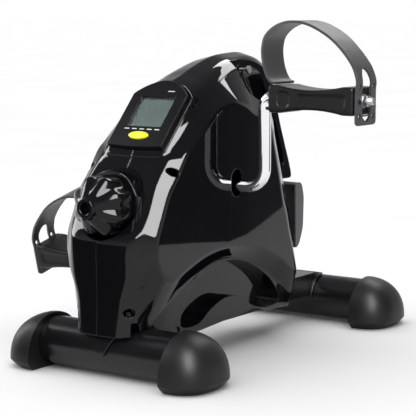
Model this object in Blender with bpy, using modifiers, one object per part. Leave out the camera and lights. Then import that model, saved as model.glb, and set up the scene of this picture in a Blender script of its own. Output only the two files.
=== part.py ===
"""Pedal exerciser: a small under-desk cycle with a knob-set magnetic brake and a console.

Metres, +Z up. The user sits at -Y and the carry handle is at +Y. Every length along Y below is
measured from the front foot tube's axis; the empty "exerciser" moves the whole object so that
its box is centred on X = 0, Y = 0, with the feet on Z = 0.
"""
import math

import bmesh
import bpy
from mathutils import Matrix, Vector

# ---------------------------------------------------------------- driving dimensions
ORIGIN_Y = -0.180            # the front foot tube's axis in the finished object
GAP = 0.0003                 # clearance between pieces that touch

TUBE_RADIUS = 0.025
TUBE_WALL = 0.0016
TUBE_AXIS_Z = 0.027
WHEELBASE = 0.367
TUBE_HALF_LENGTH = 0.0925
SADDLE_RADIUS = 0.0283
SADDLE_HALF_WIDTH = 0.0245
FOOT_BOLT_RADIUS = 0.004
FRONT_BOLT_X = 0.016
REAR_BOLT_X = 0.0095
REAR_BOLT_RISE = 0.016       # height of the rear bolts over the tube's axis

CAP_INNER_X = 0.082
CAP_TIP_X = 0.124
CAP_HALF_WIDTH = 0.0425
CAP_TOP_Z = 0.0555
CAP_WAIST_Z = 0.0085         # height of the widest part of the cap
CAP_SQUARENESS = 2.7         # exponent of the rounded plan, 2 is an ellipse

BAR_HALF_WIDTH = 0.020
BAR_BOTTOM_Z = 0.030
BAR_TOP_Z = 0.056
BRACKET_X = (-0.034, 0.022)  # ends of the crank's bearing tube

HOUSING_WIDTH = 0.057        # seam to flat side
BASE_WIDTH = 0.041           # seam to the side of the narrow lower part
WALL = 0.0025

HUB = Vector((0.0, 0.132, 0.184))
CRANK_THROW = 0.0925
CRANK_ROD_RADIUS = 0.0065
CRANK_ARM_X = 0.0905
CRANK_BEND_RADIUS = 0.020
SPINDLE_BEND_RADIUS = 0.010
THREAD_RADIUS = 0.0045
SPINDLE_END_X = 0.2165

PEDAL_INNER_X = 0.107
PEDAL_OUTER_X = 0.2045
PEDAL_DEPTH = 0.042
PEDAL_HEIGHT = 0.028
PEDAL_WAIST_HEIGHT = 0.020
LEFT_PEDAL_TILT = math.radians(14.0)

STRAP_WIDTH = 0.039
STRAP_THICKNESS = 0.0025
STRAP_OPENING_HALF_WIDTH = 0.0082
STRAP_HOLE_Y = 0.0122        # distance of the hook holes from the middle of the end plate

PULLEY_RADIUS = 0.050
PULLEY_X = (0.0245, 0.0345)
BELT_THICKNESS = 0.002
FLYWHEEL_CENTRE = Vector((0.0, 0.233, 0.130))
FLYWHEEL_RADIUS = 0.049
FLYWHEEL_HALF_WIDTH = 0.012
SMALL_PULLEY_RADIUS = 0.014
AXLE_RADIUS = 0.005

KNOB_Z = 0.1745
KNOB_RADIUS = 0.0305
KNOB_BACK_Y = -0.0090
KNOB_TIP_Y = -0.0495
KNOB_LOBES = 8
COLLAR_RADIUS = 0.0335
COLLAR_FRONT_Y = -0.0085
COLLAR_BACK_Y = 0.0235

CONSOLE_CORNER = Vector((0.0, 0.029, 0.231))   # bottom middle of the console's face
CONSOLE_SLOPE = math.radians(46.9)
CONSOLE_HALF_WIDTH = 0.034
CONSOLE_SIDE_LENGTH = 0.066
CONSOLE_LENGTH = 0.085
CONSOLE_THICKNESS = 0.0125
LCD_HALF_WIDTH = 0.0215
LCD_LOW = 0.0240
LCD_HIGH = 0.0630
BUTTON_CENTRE = (0.0, 0.0120)

BRAKE_PIN = Vector((0.0, 0.200, 0.2005))

# ---------------------------------------------------------------- scene and materials
for leftover in list(bpy.data.objects):
    bpy.data.objects.remove(leftover, do_unlink=True)

PARTS = bpy.data.collections.new("pedal_exerciser")
CUTTERS = bpy.data.collections.new("cutters")
bpy.context.scene.collection.children.link(PARTS)
bpy.context.scene.collection.children.link(CUTTERS)


def make_material(name, colour, roughness, metallic=0.0):
    material = bpy.data.materials.new(name)
    material.use_nodes = True
    shader = material.node_tree.nodes["Principled BSDF"]
    shader.inputs["Base Color"].default_value = (*colour, 1.0)
    shader.inputs["Roughness"].default_value = roughness
    shader.inputs["Metallic"].default_value = metallic
    material.diffuse_color = (*colour, 1.0)
    return material


GLOSS_BLACK = make_material("gloss_black", (0.012, 0.012, 0.014), 0.08)
SATIN_BLACK = make_material("satin_black", (0.020, 0.020, 0.021), 0.40)
TUBE_BLACK = make_material("tube_black", (0.016, 0.016, 0.017), 0.28)
RUBBER = make_material("rubber", (0.025, 0.025, 0.026), 0.55)
PEDAL_BLACK = make_material("pedal_black", (0.022, 0.022, 0.023), 0.45)
STRAP_GREY = make_material("strap_grey", (0.060, 0.060, 0.062), 0.50)
COVER_GREY = make_material("cover_grey", (0.090, 0.090, 0.092), 0.45)
CHROME = make_material("chrome", (0.80, 0.80, 0.81), 0.06, 1.0)
STEEL = make_material("steel", (0.55, 0.55, 0.56), 0.30, 1.0)
IRON = make_material("cast_iron", (0.22, 0.22, 0.23), 0.50, 1.0)
MAGNET = make_material("magnet", (0.45, 0.45, 0.46), 0.30, 1.0)
YELLOW = make_material("yellow", (0.95, 0.90, 0.02), 0.45)
LCD_GREEN = make_material("lcd_green", (0.070, 0.125, 0.110), 0.30)
CLEAR = make_material("clear", (0.60, 0.66, 0.64), 0.05)
BOARD_GREEN = make_material("board_green", (0.03, 0.16, 0.07), 0.50)


# ---------------------------------------------------------------- building helpers
def add_object(name, mesh, material, parent=None, location=(0, 0, 0)):
    obj = bpy.data.objects.new(name, mesh)
    PARTS.objects.link(obj)
    obj.parent = parent
    obj.location = location
    if material is not None:
        mesh.materials.append(material)
    return obj


def add_empty(name, parent=None, location=(0, 0, 0), turn_x=0.0):
    empty = bpy.data.objects.new(name, None)
    PARTS.objects.link(empty)
    empty.parent = parent
    empty.location = location
    empty.rotation_euler = (turn_x, 0.0, 0.0)
    return empty


def mesh_from(bm, name, smooth=True):
    bmesh.ops.recalc_face_normals(bm, faces=bm.faces)
    mesh = bpy.data.meshes.new(name)
    bm.to_mesh(mesh)
    bm.free()
    if smooth:
        mesh.shade_smooth()
        mesh.set_sharp_from_angle(angle=math.radians(35.0))
    return mesh


def cylinder_mesh(name, radius, low, high, centre=(0, 0), axis="X", sides=40):
    """A cylinder along one axis; centre holds the two other coordinates in X, Y, Z order."""
    bm = bmesh.new()
    bmesh.ops.create_cone(bm, cap_ends=True, segments=sides, radius1=radius, radius2=radius, depth=high - low)
    turn = {"X": Matrix.Rotation(math.pi / 2, 4, "Y"),
            "Y": Matrix.Rotation(-math.pi / 2, 4, "X"),
            "Z": Matrix.Identity(4)}[axis]
    middle = (low + high) / 2
    place = {"X": (middle, centre[0], centre[1]),
             "Y": (centre[0], middle, centre[1]),
             "Z": (centre[0], centre[1], middle)}[axis]
    bmesh.ops.transform(bm, matrix=Matrix.Translation(place) @ turn, verts=bm.verts)
    return mesh_from(bm, name)


def box_mesh(name, low, high, bevel=0.0):
    low, high = Vector(low), Vector(high)
    bm = bmesh.new()
    bmesh.ops.create_cube(bm, size=1.0)
    size = high - low
    bmesh.ops.transform(bm, matrix=Matrix.Translation((low + high) / 2) @ Matrix.Diagonal((*size, 1.0)),
                        verts=bm.verts)
    if bevel:
        bmesh.ops.bevel(bm, geom=list(bm.edges), offset=bevel, segments=2, profile=0.5, affect="EDGES")
    return mesh_from(bm, name)


def loft_mesh(name, sections, closed_ends=True):
    """Join sections of equal point count, each a ring of points, into one closed skin."""
    bm = bmesh.new()
    rings = [[bm.verts.new(point) for point in section] for section in sections]
    count = len(rings[0])
    for near, far in zip(rings, rings[1:]):
        for i in range(count):
            j = (i + 1) % count
            bm.faces.new((near[i], near[j], far[j], far[i]))
    if closed_ends:
        bm.faces.new(rings[0])
        bm.faces.new(rings[-1])
    return mesh_from(bm, name)


def outline_mesh(name, outline, x_low, x_high):
    """A flat outline of (y, z) points, drawn out along X."""
    return loft_mesh(name, [[(x, y, z) for y, z in outline] for x in (x_low, x_high)])


def plan_mesh(name, outline, z_low, z_high):
    """A flat outline of (x, y) points, drawn out along Z."""
    return loft_mesh(name, [[(x, y, z) for x, y in outline] for z in (z_low, z_high)])


def smooth_closed(points, steps):
    """A closed Catmull-Rom curve through the points, steps samples to each span."""
    count = len(points)
    result = []
    for i in range(count):
        a, b, c, d = (Vector(points[(i + k) % count]) for k in (-1, 0, 1, 2))
        for step in range(steps):
            t = step / steps
            result.append(0.5 * ((2 * b) + (c - a) * t + (2 * a - 5 * b + 4 * c - d) * t ** 2
                                 + (3 * b - a - 3 * c + d) * t ** 3))
    return result


def smooth_open(points, steps):
    """An open Catmull-Rom curve through the points, steps samples to each span."""
    padded = [points[0]] + list(points) + [points[-1]]
    result = []
    for i in range(len(points) - 1):
        a, b, c, d = (Vector(padded[i + k]) for k in range(4))
        for step in range(steps):
            t = step / steps
            result.append(0.5 * ((2 * b) + (c - a) * t + (2 * a - 5 * b + 4 * c - d) * t ** 2
                                 + (3 * b - a - 3 * c + d) * t ** 3))
    result.append(Vector(points[-1]))
    return result


def inset(outline, distance):
    """Move a clockwise outline's points inward by distance, square to its direction."""
    count = len(outline)
    result = []
    for i, point in enumerate(outline):
        along = (Vector(outline[(i + 1) % count]) - Vector(outline[i - 1])).normalized()
        result.append(Vector(point) + Vector((along.y, -along.x)) * distance)
    return result


def circle(centre, radius, count=40, start=0.0, stop=2 * math.pi):
    closed = math.isclose(stop - start, 2 * math.pi)
    steps = count if closed else count - 1
    return [(centre[0] + radius * math.cos(start + (stop - start) * i / steps),
             centre[1] + radius * math.sin(start + (stop - start) * i / steps)) for i in range(count)]


def boolean(obj, mesh, operation="DIFFERENCE"):
    """Cut or join a mesh, given in the object's own frame, with the object."""
    tool = bpy.data.objects.new(f"{obj.name}_tool_{len(obj.modifiers)}", mesh)
    CUTTERS.objects.link(tool)
    tool.parent = obj.parent
    tool.location = obj.location
    tool.hide_render = True
    tool.display_type = "WIRE"
    modifier = obj.modifiers.new("boolean", "BOOLEAN")
    modifier.operation = operation
    modifier.object = tool
    return tool


def rod_mesh(name, points, radius, resolution=4):
    """A round rod through the points, as a mesh with welded caps."""
    curve = bpy.data.curves.new(name, "CURVE")
    curve.dimensions = "3D"
    curve.bevel_depth = radius
    curve.bevel_resolution = resolution
    curve.use_fill_caps = True
    spline = curve.splines.new("POLY")
    spline.points.add(len(points) - 1)
    for target, point in zip(spline.points, points):
        target.co = (*point, 1.0)
    guide = bpy.data.objects.new(name, curve)
    CUTTERS.objects.link(guide)
    graph = bpy.context.evaluated_depsgraph_get()
    mesh = bpy.data.meshes.new_from_object(guide.evaluated_get(graph))
    bpy.data.objects.remove(guide, do_unlink=True)
    bpy.data.curves.remove(curve)
    bm = bmesh.new()
    bm.from_mesh(mesh)
    bpy.data.meshes.remove(mesh)
    bmesh.ops.remove_doubles(bm, verts=bm.verts, dist=0.00001)
    return mesh_from(bm, name)


# ---------------------------------------------------------------- feet and frame
def foot_tube(name, y):
    tube = add_object(name, cylinder_mesh(name, TUBE_RADIUS, -TUBE_HALF_LENGTH, TUBE_HALF_LENGTH,
                                          sides=32), TUBE_BLACK, BASE, (0, y, TUBE_AXIS_Z))
    boolean(tube, cylinder_mesh("bore", TUBE_RADIUS - TUBE_WALL, -TUBE_HALF_LENGTH - 0.01,
                                TUBE_HALF_LENGTH + 0.01, sides=32))
    for side in (-1, 1):
        boolean(tube, foot_bolt_cylinder(y, side, FOOT_BOLT_RADIUS + GAP, 0.010, 0.031))
    return tube


def foot_bolt_cylinder(y, side, radius, low, high, sides=16):
    """A cylinder on a foot bolt's axis, low and high being distances from the foot tube's axis.

    The front bolts stand upright; the rear ones lie along Y and point at the main bar.
    """
    if y == 0.0:
        return cylinder_mesh("bolt", radius, low, high, (side * FRONT_BOLT_X, 0), "Z", sides)
    return cylinder_mesh("bolt", radius, -high, -low, (side * REAR_BOLT_X, REAR_BOLT_RISE), "Y", sides)


def foot_cap(name, side, y):
    """A hollow-socketed dome with a flat sole: a sphere squared off in plan and flattened below."""
    bm = bmesh.new()
    bmesh.ops.create_uvsphere(bm, u_segments=28, v_segments=14, radius=1.0)
    power = 2.0 / CAP_SQUARENESS
    for vert in bm.verts:
        x, y_unit, z = vert.co
        flat = math.hypot(x, y_unit)
        if flat > 1e-6:
            squared = [math.copysign(abs(c / flat) ** power, c) * flat for c in (x, y_unit)]
            x, y_unit = squared
        vert.co.x = CAP_INNER_X + (CAP_TIP_X - CAP_INNER_X) * x
        vert.co.y = CAP_HALF_WIDTH * y_unit
        if z > 0:
            vert.co.z = CAP_WAIST_Z + (CAP_TOP_Z - CAP_WAIST_Z) * z ** 0.85
        else:
            vert.co.z = CAP_WAIST_Z * (1.0 - min(1.0, -z / 0.6) ** 1.8)
    bmesh.ops.bisect_plane(bm, geom=bm.verts[:] + bm.edges[:] + bm.faces[:],
                           plane_co=(CAP_INNER_X, 0, 0), plane_no=(1, 0, 0), clear_inner=True)
    bmesh.ops.remove_doubles(bm, verts=bm.verts, dist=0.00005)
    bmesh.ops.edgeloop_fill(bm, edges=[edge for edge in bm.edges if edge.is_boundary])
    if side < 0:
        bmesh.ops.transform(bm, matrix=Matrix.Diagonal((-1, 1, 1, 1)), verts=bm.verts)
    cap = add_object(name, mesh_from(bm, name), RUBBER, BASE, (0, y, 0))
    reach = sorted((side * (CAP_INNER_X - 0.01), side * (TUBE_HALF_LENGTH + GAP)))
    boolean(cap, cylinder_mesh("socket", TUBE_RADIUS + GAP, *reach, (0, TUBE_AXIS_Z), sides=32))
    return cap


def saddle(name, y, start, full, stop, tip):
    """A curved plate round the tube, from the angle start to stop; past full it narrows to tip.

    Angles run from +Y over the top to -Y.
    """
    sections = []
    for step in range(17):
        angle = start + (stop - start) * step / 16
        narrowing = max(0.0, (angle - full) / (stop - full)) if stop > full else 0.0
        half = SADDLE_HALF_WIDTH * (1.0 - (1.0 - tip) * narrowing)
        near, far = ((r * math.cos(angle), r * math.sin(angle)) for r in (TUBE_RADIUS + GAP, SADDLE_RADIUS))
        sections.append([(-half, *near), (half, *near), (half, *far), (-half, *far)])
    plate = add_object(name, loft_mesh(name, sections), TUBE_BLACK, BASE, (0, y, TUBE_AXIS_Z))
    for side in (-1, 1):
        boolean(plate, foot_bolt_cylinder(y, side, FOOT_BOLT_RADIUS + GAP, 0.010, 0.040))


def foot_bolt(name, side, y):
    """A bolt whose head sits inside the tube, against its wall."""
    low, high, head = (0.0180, 0.0400, (0.0160, 0.0216)) if y == 0.0 else (0.0060, 0.0345, (0.0048, 0.0088))
    bolt = add_object(name, foot_bolt_cylinder(y, side, FOOT_BOLT_RADIUS, low, high), STEEL, BASE,
                      (0, y, TUBE_AXIS_Z))
    boolean(bolt, foot_bolt_cylinder(y, side, 0.0055, *head), "UNION")


def foot_nut(name, side, y):
    low, high = (0.0287, 0.0347) if y == 0.0 else (0.0272, 0.0332)
    nut = add_object(name, foot_bolt_cylinder(y, side, 0.0065, low, high, 6), STEEL, BASE, (0, y, TUBE_AXIS_Z))
    boolean(nut, foot_bolt_cylinder(y, side, FOOT_BOLT_RADIUS + GAP, low - 0.01, high + 0.01))


def main_frame_bar():
    bar = add_object("main_frame_bar", box_mesh("main_frame_bar", (-BAR_HALF_WIDTH, 0.012, BAR_BOTTOM_Z),
                                                (BAR_HALF_WIDTH, WHEELBASE - 0.012, BAR_TOP_Z)),
                     TUBE_BLACK, BASE)
    for y in (0.0, WHEELBASE):
        boolean(bar, cylinder_mesh("tube_seat", SADDLE_RADIUS + GAP, -0.03, 0.03, (y, TUBE_AXIS_Z), sides=32))
    boolean(bar, box_mesh("hollow", (-BAR_HALF_WIDTH + 0.002, -0.02, BAR_BOTTOM_Z + 0.002),
                          (BAR_HALF_WIDTH - 0.002, WHEELBASE + 0.02, BAR_TOP_Z - 0.002)))


def crank_bracket():
    """The upright post with the bearing tube that the crank turns in."""
    bracket = add_object("crank_bracket", box_mesh("crank_bracket", (-0.020, HUB.y - 0.012, BAR_TOP_Z + GAP),
                                                   (0.008, HUB.y + 0.012, HUB.z)), TUBE_BLACK, BASE)
    low, high = BRACKET_X
    boolean(bracket, cylinder_mesh("shell", 0.019, low, high, (HUB.y, HUB.z), sides=28), "UNION")
    boolean(bracket, cylinder_mesh("bore", 0.0163, low - 0.01, high + 0.01, (HUB.y, HUB.z), sides=28))


def crank_bearing(name, low, high):
    bearing = add_object(name, cylinder_mesh(name, 0.0160, low, high, (HUB.y, HUB.z), sides=28), STEEL, BASE)
    boolean(bearing, cylinder_mesh("bore", CRANK_ROD_RADIUS + GAP, low - 0.01, high + 0.01,
                                   (HUB.y, HUB.z), sides=32))


def flywheel_bracket(name, side):
    """A plate on the side of the main bar that holds the flywheel's axle and the brake's pin."""
    outline = [(0.200, 0.036), (0.192, 0.150), (0.192, 0.206), (0.197, 0.210), (0.205, 0.210),
               (0.210, 0.206), (0.212, 0.160), (0.236, 0.150), (0.250, 0.142), (0.262, 0.095), (0.262, 0.036)]
    low, high = sorted((side * (BAR_HALF_WIDTH + GAP), side * (BAR_HALF_WIDTH + 0.0033)))
    plate = add_object(name, outline_mesh(name, outline, low, high), TUBE_BLACK, BASE)
    centre = (FLYWHEEL_CENTRE.y, FLYWHEEL_CENTRE.z)
    boolean(plate, cylinder_mesh("axle_hole", AXLE_RADIUS + GAP, low - 0.01, high + 0.01, centre, sides=24))
    boolean(plate, cylinder_mesh("pin_hole", 0.0020 + GAP, low - 0.01, high + 0.01,
                                 (BRAKE_PIN.y, BRAKE_PIN.z), sides=16))


# ---------------------------------------------------------------- housing
# Each row is one way across the shell, from the seam out to the flat side, in millimetres:
# (y, z) on the seam, (x, y, z) on the corner, (x, y, z) on the shoulder and (y, z) on the flat side.
HOUSING_RIBS = [
    ((-31, 30), (24, -29, 30), (35, -16, 42), (4, 106)),            # front, going up
    ((-31, 75), (27, -28.5, 75), (40, -15, 84), (-4, 114)),
    ((-31, 105), (32, -28, 105), (45, -19, 110), (-8, 124)),
    ((-31, 138), (36, -27, 138), (46, -16, 145), (-8, 141)),
    ((-17, 159), (37, -14, 160), (45, -7.7, 166), (1, 162)),
    ((-3, 180), (36, -1.5, 181), (43.5, 2, 187), (12, 185)),
    ((11, 199), (34, 11.5, 199.5), (42.5, 13, 201), (26, 201)),
    ((24, 216.5), (34, 25, 217), (41, 31, 221), (41, 222)),
    ((29.2, 225.4), (35, 29.5, 225.5), (41, 39, 229.5), (53, 231)),  # bed of the console
    ((62, 260.4), (35, 61, 259.3), (41, 62.9, 252.8), (69, 243)),
    ((85, 285), (35, 77, 276.5), (41, 80, 266.5), (82, 252)),
    ((96, 292), (31, 96, 287), (40, 94, 276.5), (99, 262)),          # top
    ((115, 299), (27, 112, 293.5), (38.5, 108, 284), (115, 268)),
    ((136, 307), (24, 134, 302), (36, 127, 293), (132, 270)),
    ((166, 316), (22, 163, 311), (31, 160, 302.5), (151, 265)),
    ((196, 319), (20, 193, 314), (31, 186, 303), (168, 256)),
    ((222, 319), (19, 221, 314), (33, 203, 290), (182, 252.5)),
    ((246, 312), (18, 243, 307), (40, 210, 270), (194, 250)),
    ((266, 297), (17, 262, 292), (48, 213, 248), (200, 238)),        # carry handle, going down
    ((284, 249), (17, 278, 247), (50, 215, 226), (205, 222)),
    ((298, 218), (17, 291, 216), (51, 221, 204), (211, 202)),
    ((309, 192), (17, 302, 191), (51, 229, 178), (219, 175)),
    ((310, 178), (20, 300, 177), (51, 236, 158), (225, 155)),
    ((272, 175), (30, 268, 171), (51, 242, 142), (231, 140)),        # rear
    ((274, 140), (38, 268, 138), (51, 247, 124), (236, 123)),
    ((275, 105), (38, 269, 104), (51, 254, 102), (245, 100)),
    ((275, 60), (38, 269, 60), (50, 260, 72), (252, 79)),
    ((273, 30), (38, 268, 30), (43, 262, 50), (248, 77)),            # bottom, going forward
    ((240, 30), (41, 240, 30), (43, 238, 64), (236, 82)),
    ((205, 30), (41, 205, 30), (43, 206, 83), (210, 98)),
    ((165, 30), (41, 165, 30), (43, 165, 100), (168, 114)),
    ((123, 30), (41, 123, 30), (43, 123, 106), (123, 121)),
    ((85, 30), (41, 85, 30), (43, 85, 99), (84, 119)),
    ((50, 30), (41, 50, 30), (43, 50, 85), (50, 110)),
    ((20, 30), (41, 20, 30), (43, 22, 70), (26, 101)),
    ((-8, 30), (36, 0, 30), (39, 1, 54), (14, 101)),
]


def round_off(points, ratio, rounds):
    """Cut the inner corners of an open path, again and again, so that they come out round."""
    for _ in range(rounds):
        path = [points[0]]
        for before, corner, after in zip(points, points[1:], points[2:]):
            path += [corner.lerp(before, ratio), corner.lerp(after, ratio)]
        points = path + [points[-1]]
    return points


def housing_sections(shrink, steps=2, rounds=1):
    """Rings of the housing from the seam outwards, shrunk by a wall's thickness for the inside."""
    loops = []
    for place in range(4):
        points = [rib[place] for rib in HOUSING_RIBS]
        if place == 0:
            points = [(GAP * 500, *point) for point in points]
        if place == 3:
            points = [(HOUSING_WIDTH * 1000, *point) for point in points]
        loop = [point / 1000 for point in smooth_closed(points, steps)]
        if shrink:
            flat = inset([Vector((p.y, p.z)) for p in loop], shrink)
            reach = [-0.010] * len(loop) if place == 0 else [p.x - shrink for p in loop]
            loop = [Vector((x, *p)) for x, p in zip(reach, flat)]
        loops.append(loop)
    ribs = [round_off(list(rib), 0.3, rounds) for rib in zip(*loops)]
    return list(zip(*ribs))


BASE_BOTTOM = [(-0.060, 0.046), (-0.012, 0.046), (0.026, 0.0335), (0.078, 0.0335), (0.186, 0.0425),
               (0.208, 0.039), (0.228, 0.031), (0.300, 0.031), (0.300, -0.010), (-0.060, -0.010)]
ARCH = [(0.052, 0.046), (0.058, 0.070), (0.083, 0.094), (0.123, 0.103), (0.165, 0.098), (0.205, 0.080),
        (0.228, 0.062), (0.238, 0.044), (0.214, 0.040), (0.186, 0.046), (0.168, 0.057), (0.148, 0.0625),
        (0.128, 0.0625), (0.105, 0.055), (0.082, 0.043)]
ARCH_DEPTH_X = 0.027
HANDLE_SLOT = [(0.198, 0.300), (0.214, 0.303), (0.229, 0.297), (0.241, 0.282), (0.255, 0.256), (0.270, 0.226),
               (0.281, 0.199), (0.277, 0.189), (0.268, 0.190), (0.256, 0.206), (0.240, 0.236), (0.222, 0.266),
               (0.204, 0.286)]
REAR_RELIEF = [(0.330, 0.345), (0.330, 0.1515), (0.2512, 0.1515), (0.235, 0.182), (0.224, 0.208), (0.218, 0.240),
               (0.212, 0.262), (0.190, 0.268), (0.169, 0.278), (0.168, 0.345)]
HANDLE_HALF_WIDTH = 0.021
SCREW_HOLES = [(0.026, 0.206), (0.188, 0.302), (0.046, 0.0425), (-0.0215, 0.0705)]


def housing_right():
    """One glossy shell with its narrow base, hollowed from the seam; the left shell is its mirror image."""
    shell = add_object("housing_right", loft_mesh("housing_right", housing_sections(0.0)), GLOSS_BLACK, BASE)
    hollow = boolean(shell, loft_mesh("hollow", housing_sections(WALL)))
    boolean(hollow, box_mesh("open_bottom", (-0.010, -0.020, 0.010), (BASE_WIDTH - WALL, 0.262, 0.060)), "UNION")
    vault = smooth_closed([Vector(p) for p in ARCH], 2)
    slot = smooth_closed([Vector(p) for p in HANDLE_SLOT], 1)
    for outline, x_low in ((vault, ARCH_DEPTH_X), (slot, -0.030), (REAR_RELIEF, HANDLE_HALF_WIDTH)):
        boolean(hollow, outline_mesh("wall", inset(outline, -WALL), x_low - WALL, 0.082))
        boolean(shell, outline_mesh("recess", outline, x_low, 0.080))
    boolean(shell, outline_mesh("under", BASE_BOTTOM, -0.012, 0.080))
    boolean(shell, cylinder_mesh("tube_seat", TUBE_RADIUS + 0.0012, -0.01, 0.08, (0, TUBE_AXIS_Z), sides=48))
    crank_slot = circle((HUB.y - 0.001, HUB.z - 0.0015), 0.0105, 9, math.pi, 2 * math.pi)
    crank_slot += circle((HUB.y - 0.001, HUB.z + 0.0065), 0.0105, 9, 0, math.pi)
    boolean(shell, outline_mesh("crank_slot", crank_slot, 0.045, 0.080))
    boolean(shell, cylinder_mesh("knob_pocket", COLLAR_RADIUS + GAP, -0.060, 0.0240, (0, KNOB_Z), "Y", 48))
    boolean(shell, box_mesh("cover_mouth", (-0.0365, 0.2500, 0.0965), (0.0365, 0.320, 0.1675)))
    boolean(shell, box_mesh("bar_exit", (-BAR_HALF_WIDTH - 0.0005, 0.262, -0.010),
                            (BAR_HALF_WIDTH + 0.0005, 0.320, BAR_TOP_Z + 0.0005)))
    seat = plan_mesh("console_seat", console_outline(-GAP), -CONSOLE_THICKNESS - 0.0030, 0.012)
    seat.transform(Matrix.Translation(CONSOLE_CORNER) @ Matrix.Rotation(CONSOLE_SLOPE, 4, "X"))
    boolean(shell, seat)
    for centre in SCREW_HOLES:
        boolean(shell, cylinder_mesh("screw_hole", 0.0045, 0.020, 0.080, centre, sides=24))
    return shell


def mirrored(name, source):
    """The other half: the source's finished mesh, turned over about the seam plane."""
    graph = bpy.context.evaluated_depsgraph_get()
    mesh = bpy.data.meshes.new_from_object(source.evaluated_get(graph))
    mesh.transform(Matrix.Diagonal((-1, 1, 1, 1)))
    mesh.flip_normals()
    return add_object(name, mesh, None, source.parent)


def rear_cover():
    """The belly behind the housing that covers the flywheel."""
    outline = [(0.276, 0.171), (0.289, 0.172), (0.2945, 0.155), (0.293, 0.119), (0.285, 0.101), (0.2775, 0.096)]
    cover = add_object("rear_cover", outline_mesh("rear_cover", outline, -0.040, 0.040), COVER_GREY, BASE)
    inner = [(0.260, 0.1685), (0.287, 0.1690), (0.2915, 0.1545), (0.290, 0.120), (0.283, 0.1035), (0.260, 0.099)]
    boolean(cover, outline_mesh("hollow", inner, -0.0375, 0.0375))


def knob_collar():
    """The round boss that the tension knob turns on."""
    collar = add_object("knob_collar", cylinder_mesh("knob_collar", COLLAR_RADIUS, COLLAR_FRONT_Y, COLLAR_BACK_Y,
                                                     (0, KNOB_Z), "Y", 56), GLOSS_BLACK, BASE)
    boolean(collar, cylinder_mesh("hollow", COLLAR_RADIUS - WALL, COLLAR_FRONT_Y + WALL, 0.050,
                                  (0, KNOB_Z), "Y", 48))
    boolean(collar, cylinder_mesh("screw_hole", 0.0045, -0.05, 0.05, (0, KNOB_Z), "Y", 24))


def housing_screw(name, side, centre, reach):
    low, high = sorted((side * reach, side * (reach + 0.012)))
    screw = add_object(name, cylinder_mesh(name, 0.0018, low, high, centre, sides=16), STEEL, BASE)
    low, high = sorted((side * (reach + 0.010), side * (reach + 0.013)))
    boolean(screw, cylinder_mesh("head", 0.0040, low, high, centre, sides=24), "UNION")


# ---------------------------------------------------------------- drive train
def crank_rod():
    """One rod bent into two cranks, half a turn apart, with the pedal spindles at its ends."""
    def half(side):
        reach = Vector((0, 0, 1))
        points = []
        for i in range(6):
            angle = math.pi / 2 * i / 5
            x = CRANK_ARM_X - CRANK_BEND_RADIUS * (1 - math.sin(angle))
            points.append(Vector((x, 0, 0)) + reach * CRANK_BEND_RADIUS * (1 - math.cos(angle)))
        for i in range(6):
            angle = math.pi / 2 * i / 5
            x = CRANK_ARM_X + SPINDLE_BEND_RADIUS * (1 - math.cos(angle))
            rise = CRANK_THROW - SPINDLE_BEND_RADIUS * (1 - math.sin(angle))
            points.append(Vector((x, 0, 0)) + reach * rise)
        points.append(Vector((PEDAL_OUTER_X + GAP, 0, 0)) + reach * CRANK_THROW)
        return [Vector((side * p.x, side * p.y, side * p.z)) for p in points]

    path = half(-1)[::-1] + half(1)
    rod = add_object("crank_rod", rod_mesh("crank_rod", path, CRANK_ROD_RADIUS, 4), CHROME, CRANK)
    for side in (1, -1):
        low, high = sorted((side * (PEDAL_OUTER_X - 0.002), side * SPINDLE_END_X))
        thread = cylinder_mesh("thread", THREAD_RADIUS, low, high, (0, side * CRANK_THROW), sides=16)
        boolean(rod, thread, "UNION")


def flat_pulley(name, radius, parent, bore_radius, material):
    """A pulley for the flat belt: a plain disc with a bore for its shaft."""
    low, high = PULLEY_X
    pulley = add_object(name, cylinder_mesh(name, radius, low, high, sides=40), material, parent)
    boolean(pulley, cylinder_mesh("bore", bore_radius, low - 0.01, high + 0.01, sides=32))


def belt():
    """A flat belt round both pulleys: two arcs and the straight runs between them."""
    near, far = Vector((HUB.y, HUB.z)), Vector((FLYWHEEL_CENTRE.y, FLYWHEEL_CENTRE.z))
    across = far - near
    heading = math.atan2(across.y, across.x)
    lean = math.acos((PULLEY_RADIUS - SMALL_PULLEY_RADIUS) / across.length)

    def loop(extra):
        big = circle(near, PULLEY_RADIUS + extra, 24, heading + lean, heading + 2 * math.pi - lean)
        small = circle(far, SMALL_PULLEY_RADIUS + extra, 14, heading - lean, heading + lean)
        return big + small

    low, high = PULLEY_X[0] + 0.001, PULLEY_X[1] - 0.001
    band = add_object("drive_belt", outline_mesh("drive_belt", loop(GAP + BELT_THICKNESS), low, high), RUBBER, BASE)
    boolean(band, outline_mesh("inside", loop(GAP), low - 0.01, high + 0.01))


def flywheel():
    centre = (0, 0)
    wheel = add_object("flywheel", cylinder_mesh("flywheel", FLYWHEEL_RADIUS, -FLYWHEEL_HALF_WIDTH,
                                                 FLYWHEEL_HALF_WIDTH, centre, sides=36), IRON, FLYWHEEL)
    boolean(wheel, cylinder_mesh("bore", AXLE_RADIUS + GAP, -0.02, 0.02, centre, sides=32))
    for side in (1, -1):
        low, high = sorted((side * 0.006, side * 0.020))
        dish = cylinder_mesh("dish", 0.040, low, high, centre, sides=28)
        boolean(wheel, dish)
        low, high = sorted((side * 0.005, side * FLYWHEEL_HALF_WIDTH))
        boss = cylinder_mesh("boss", 0.010, low, high, centre, sides=20)
        boolean(wheel, boss, "UNION")
        boolean(wheel, cylinder_mesh("bore", AXLE_RADIUS + GAP, -0.02, 0.02, centre, sides=32))


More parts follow.
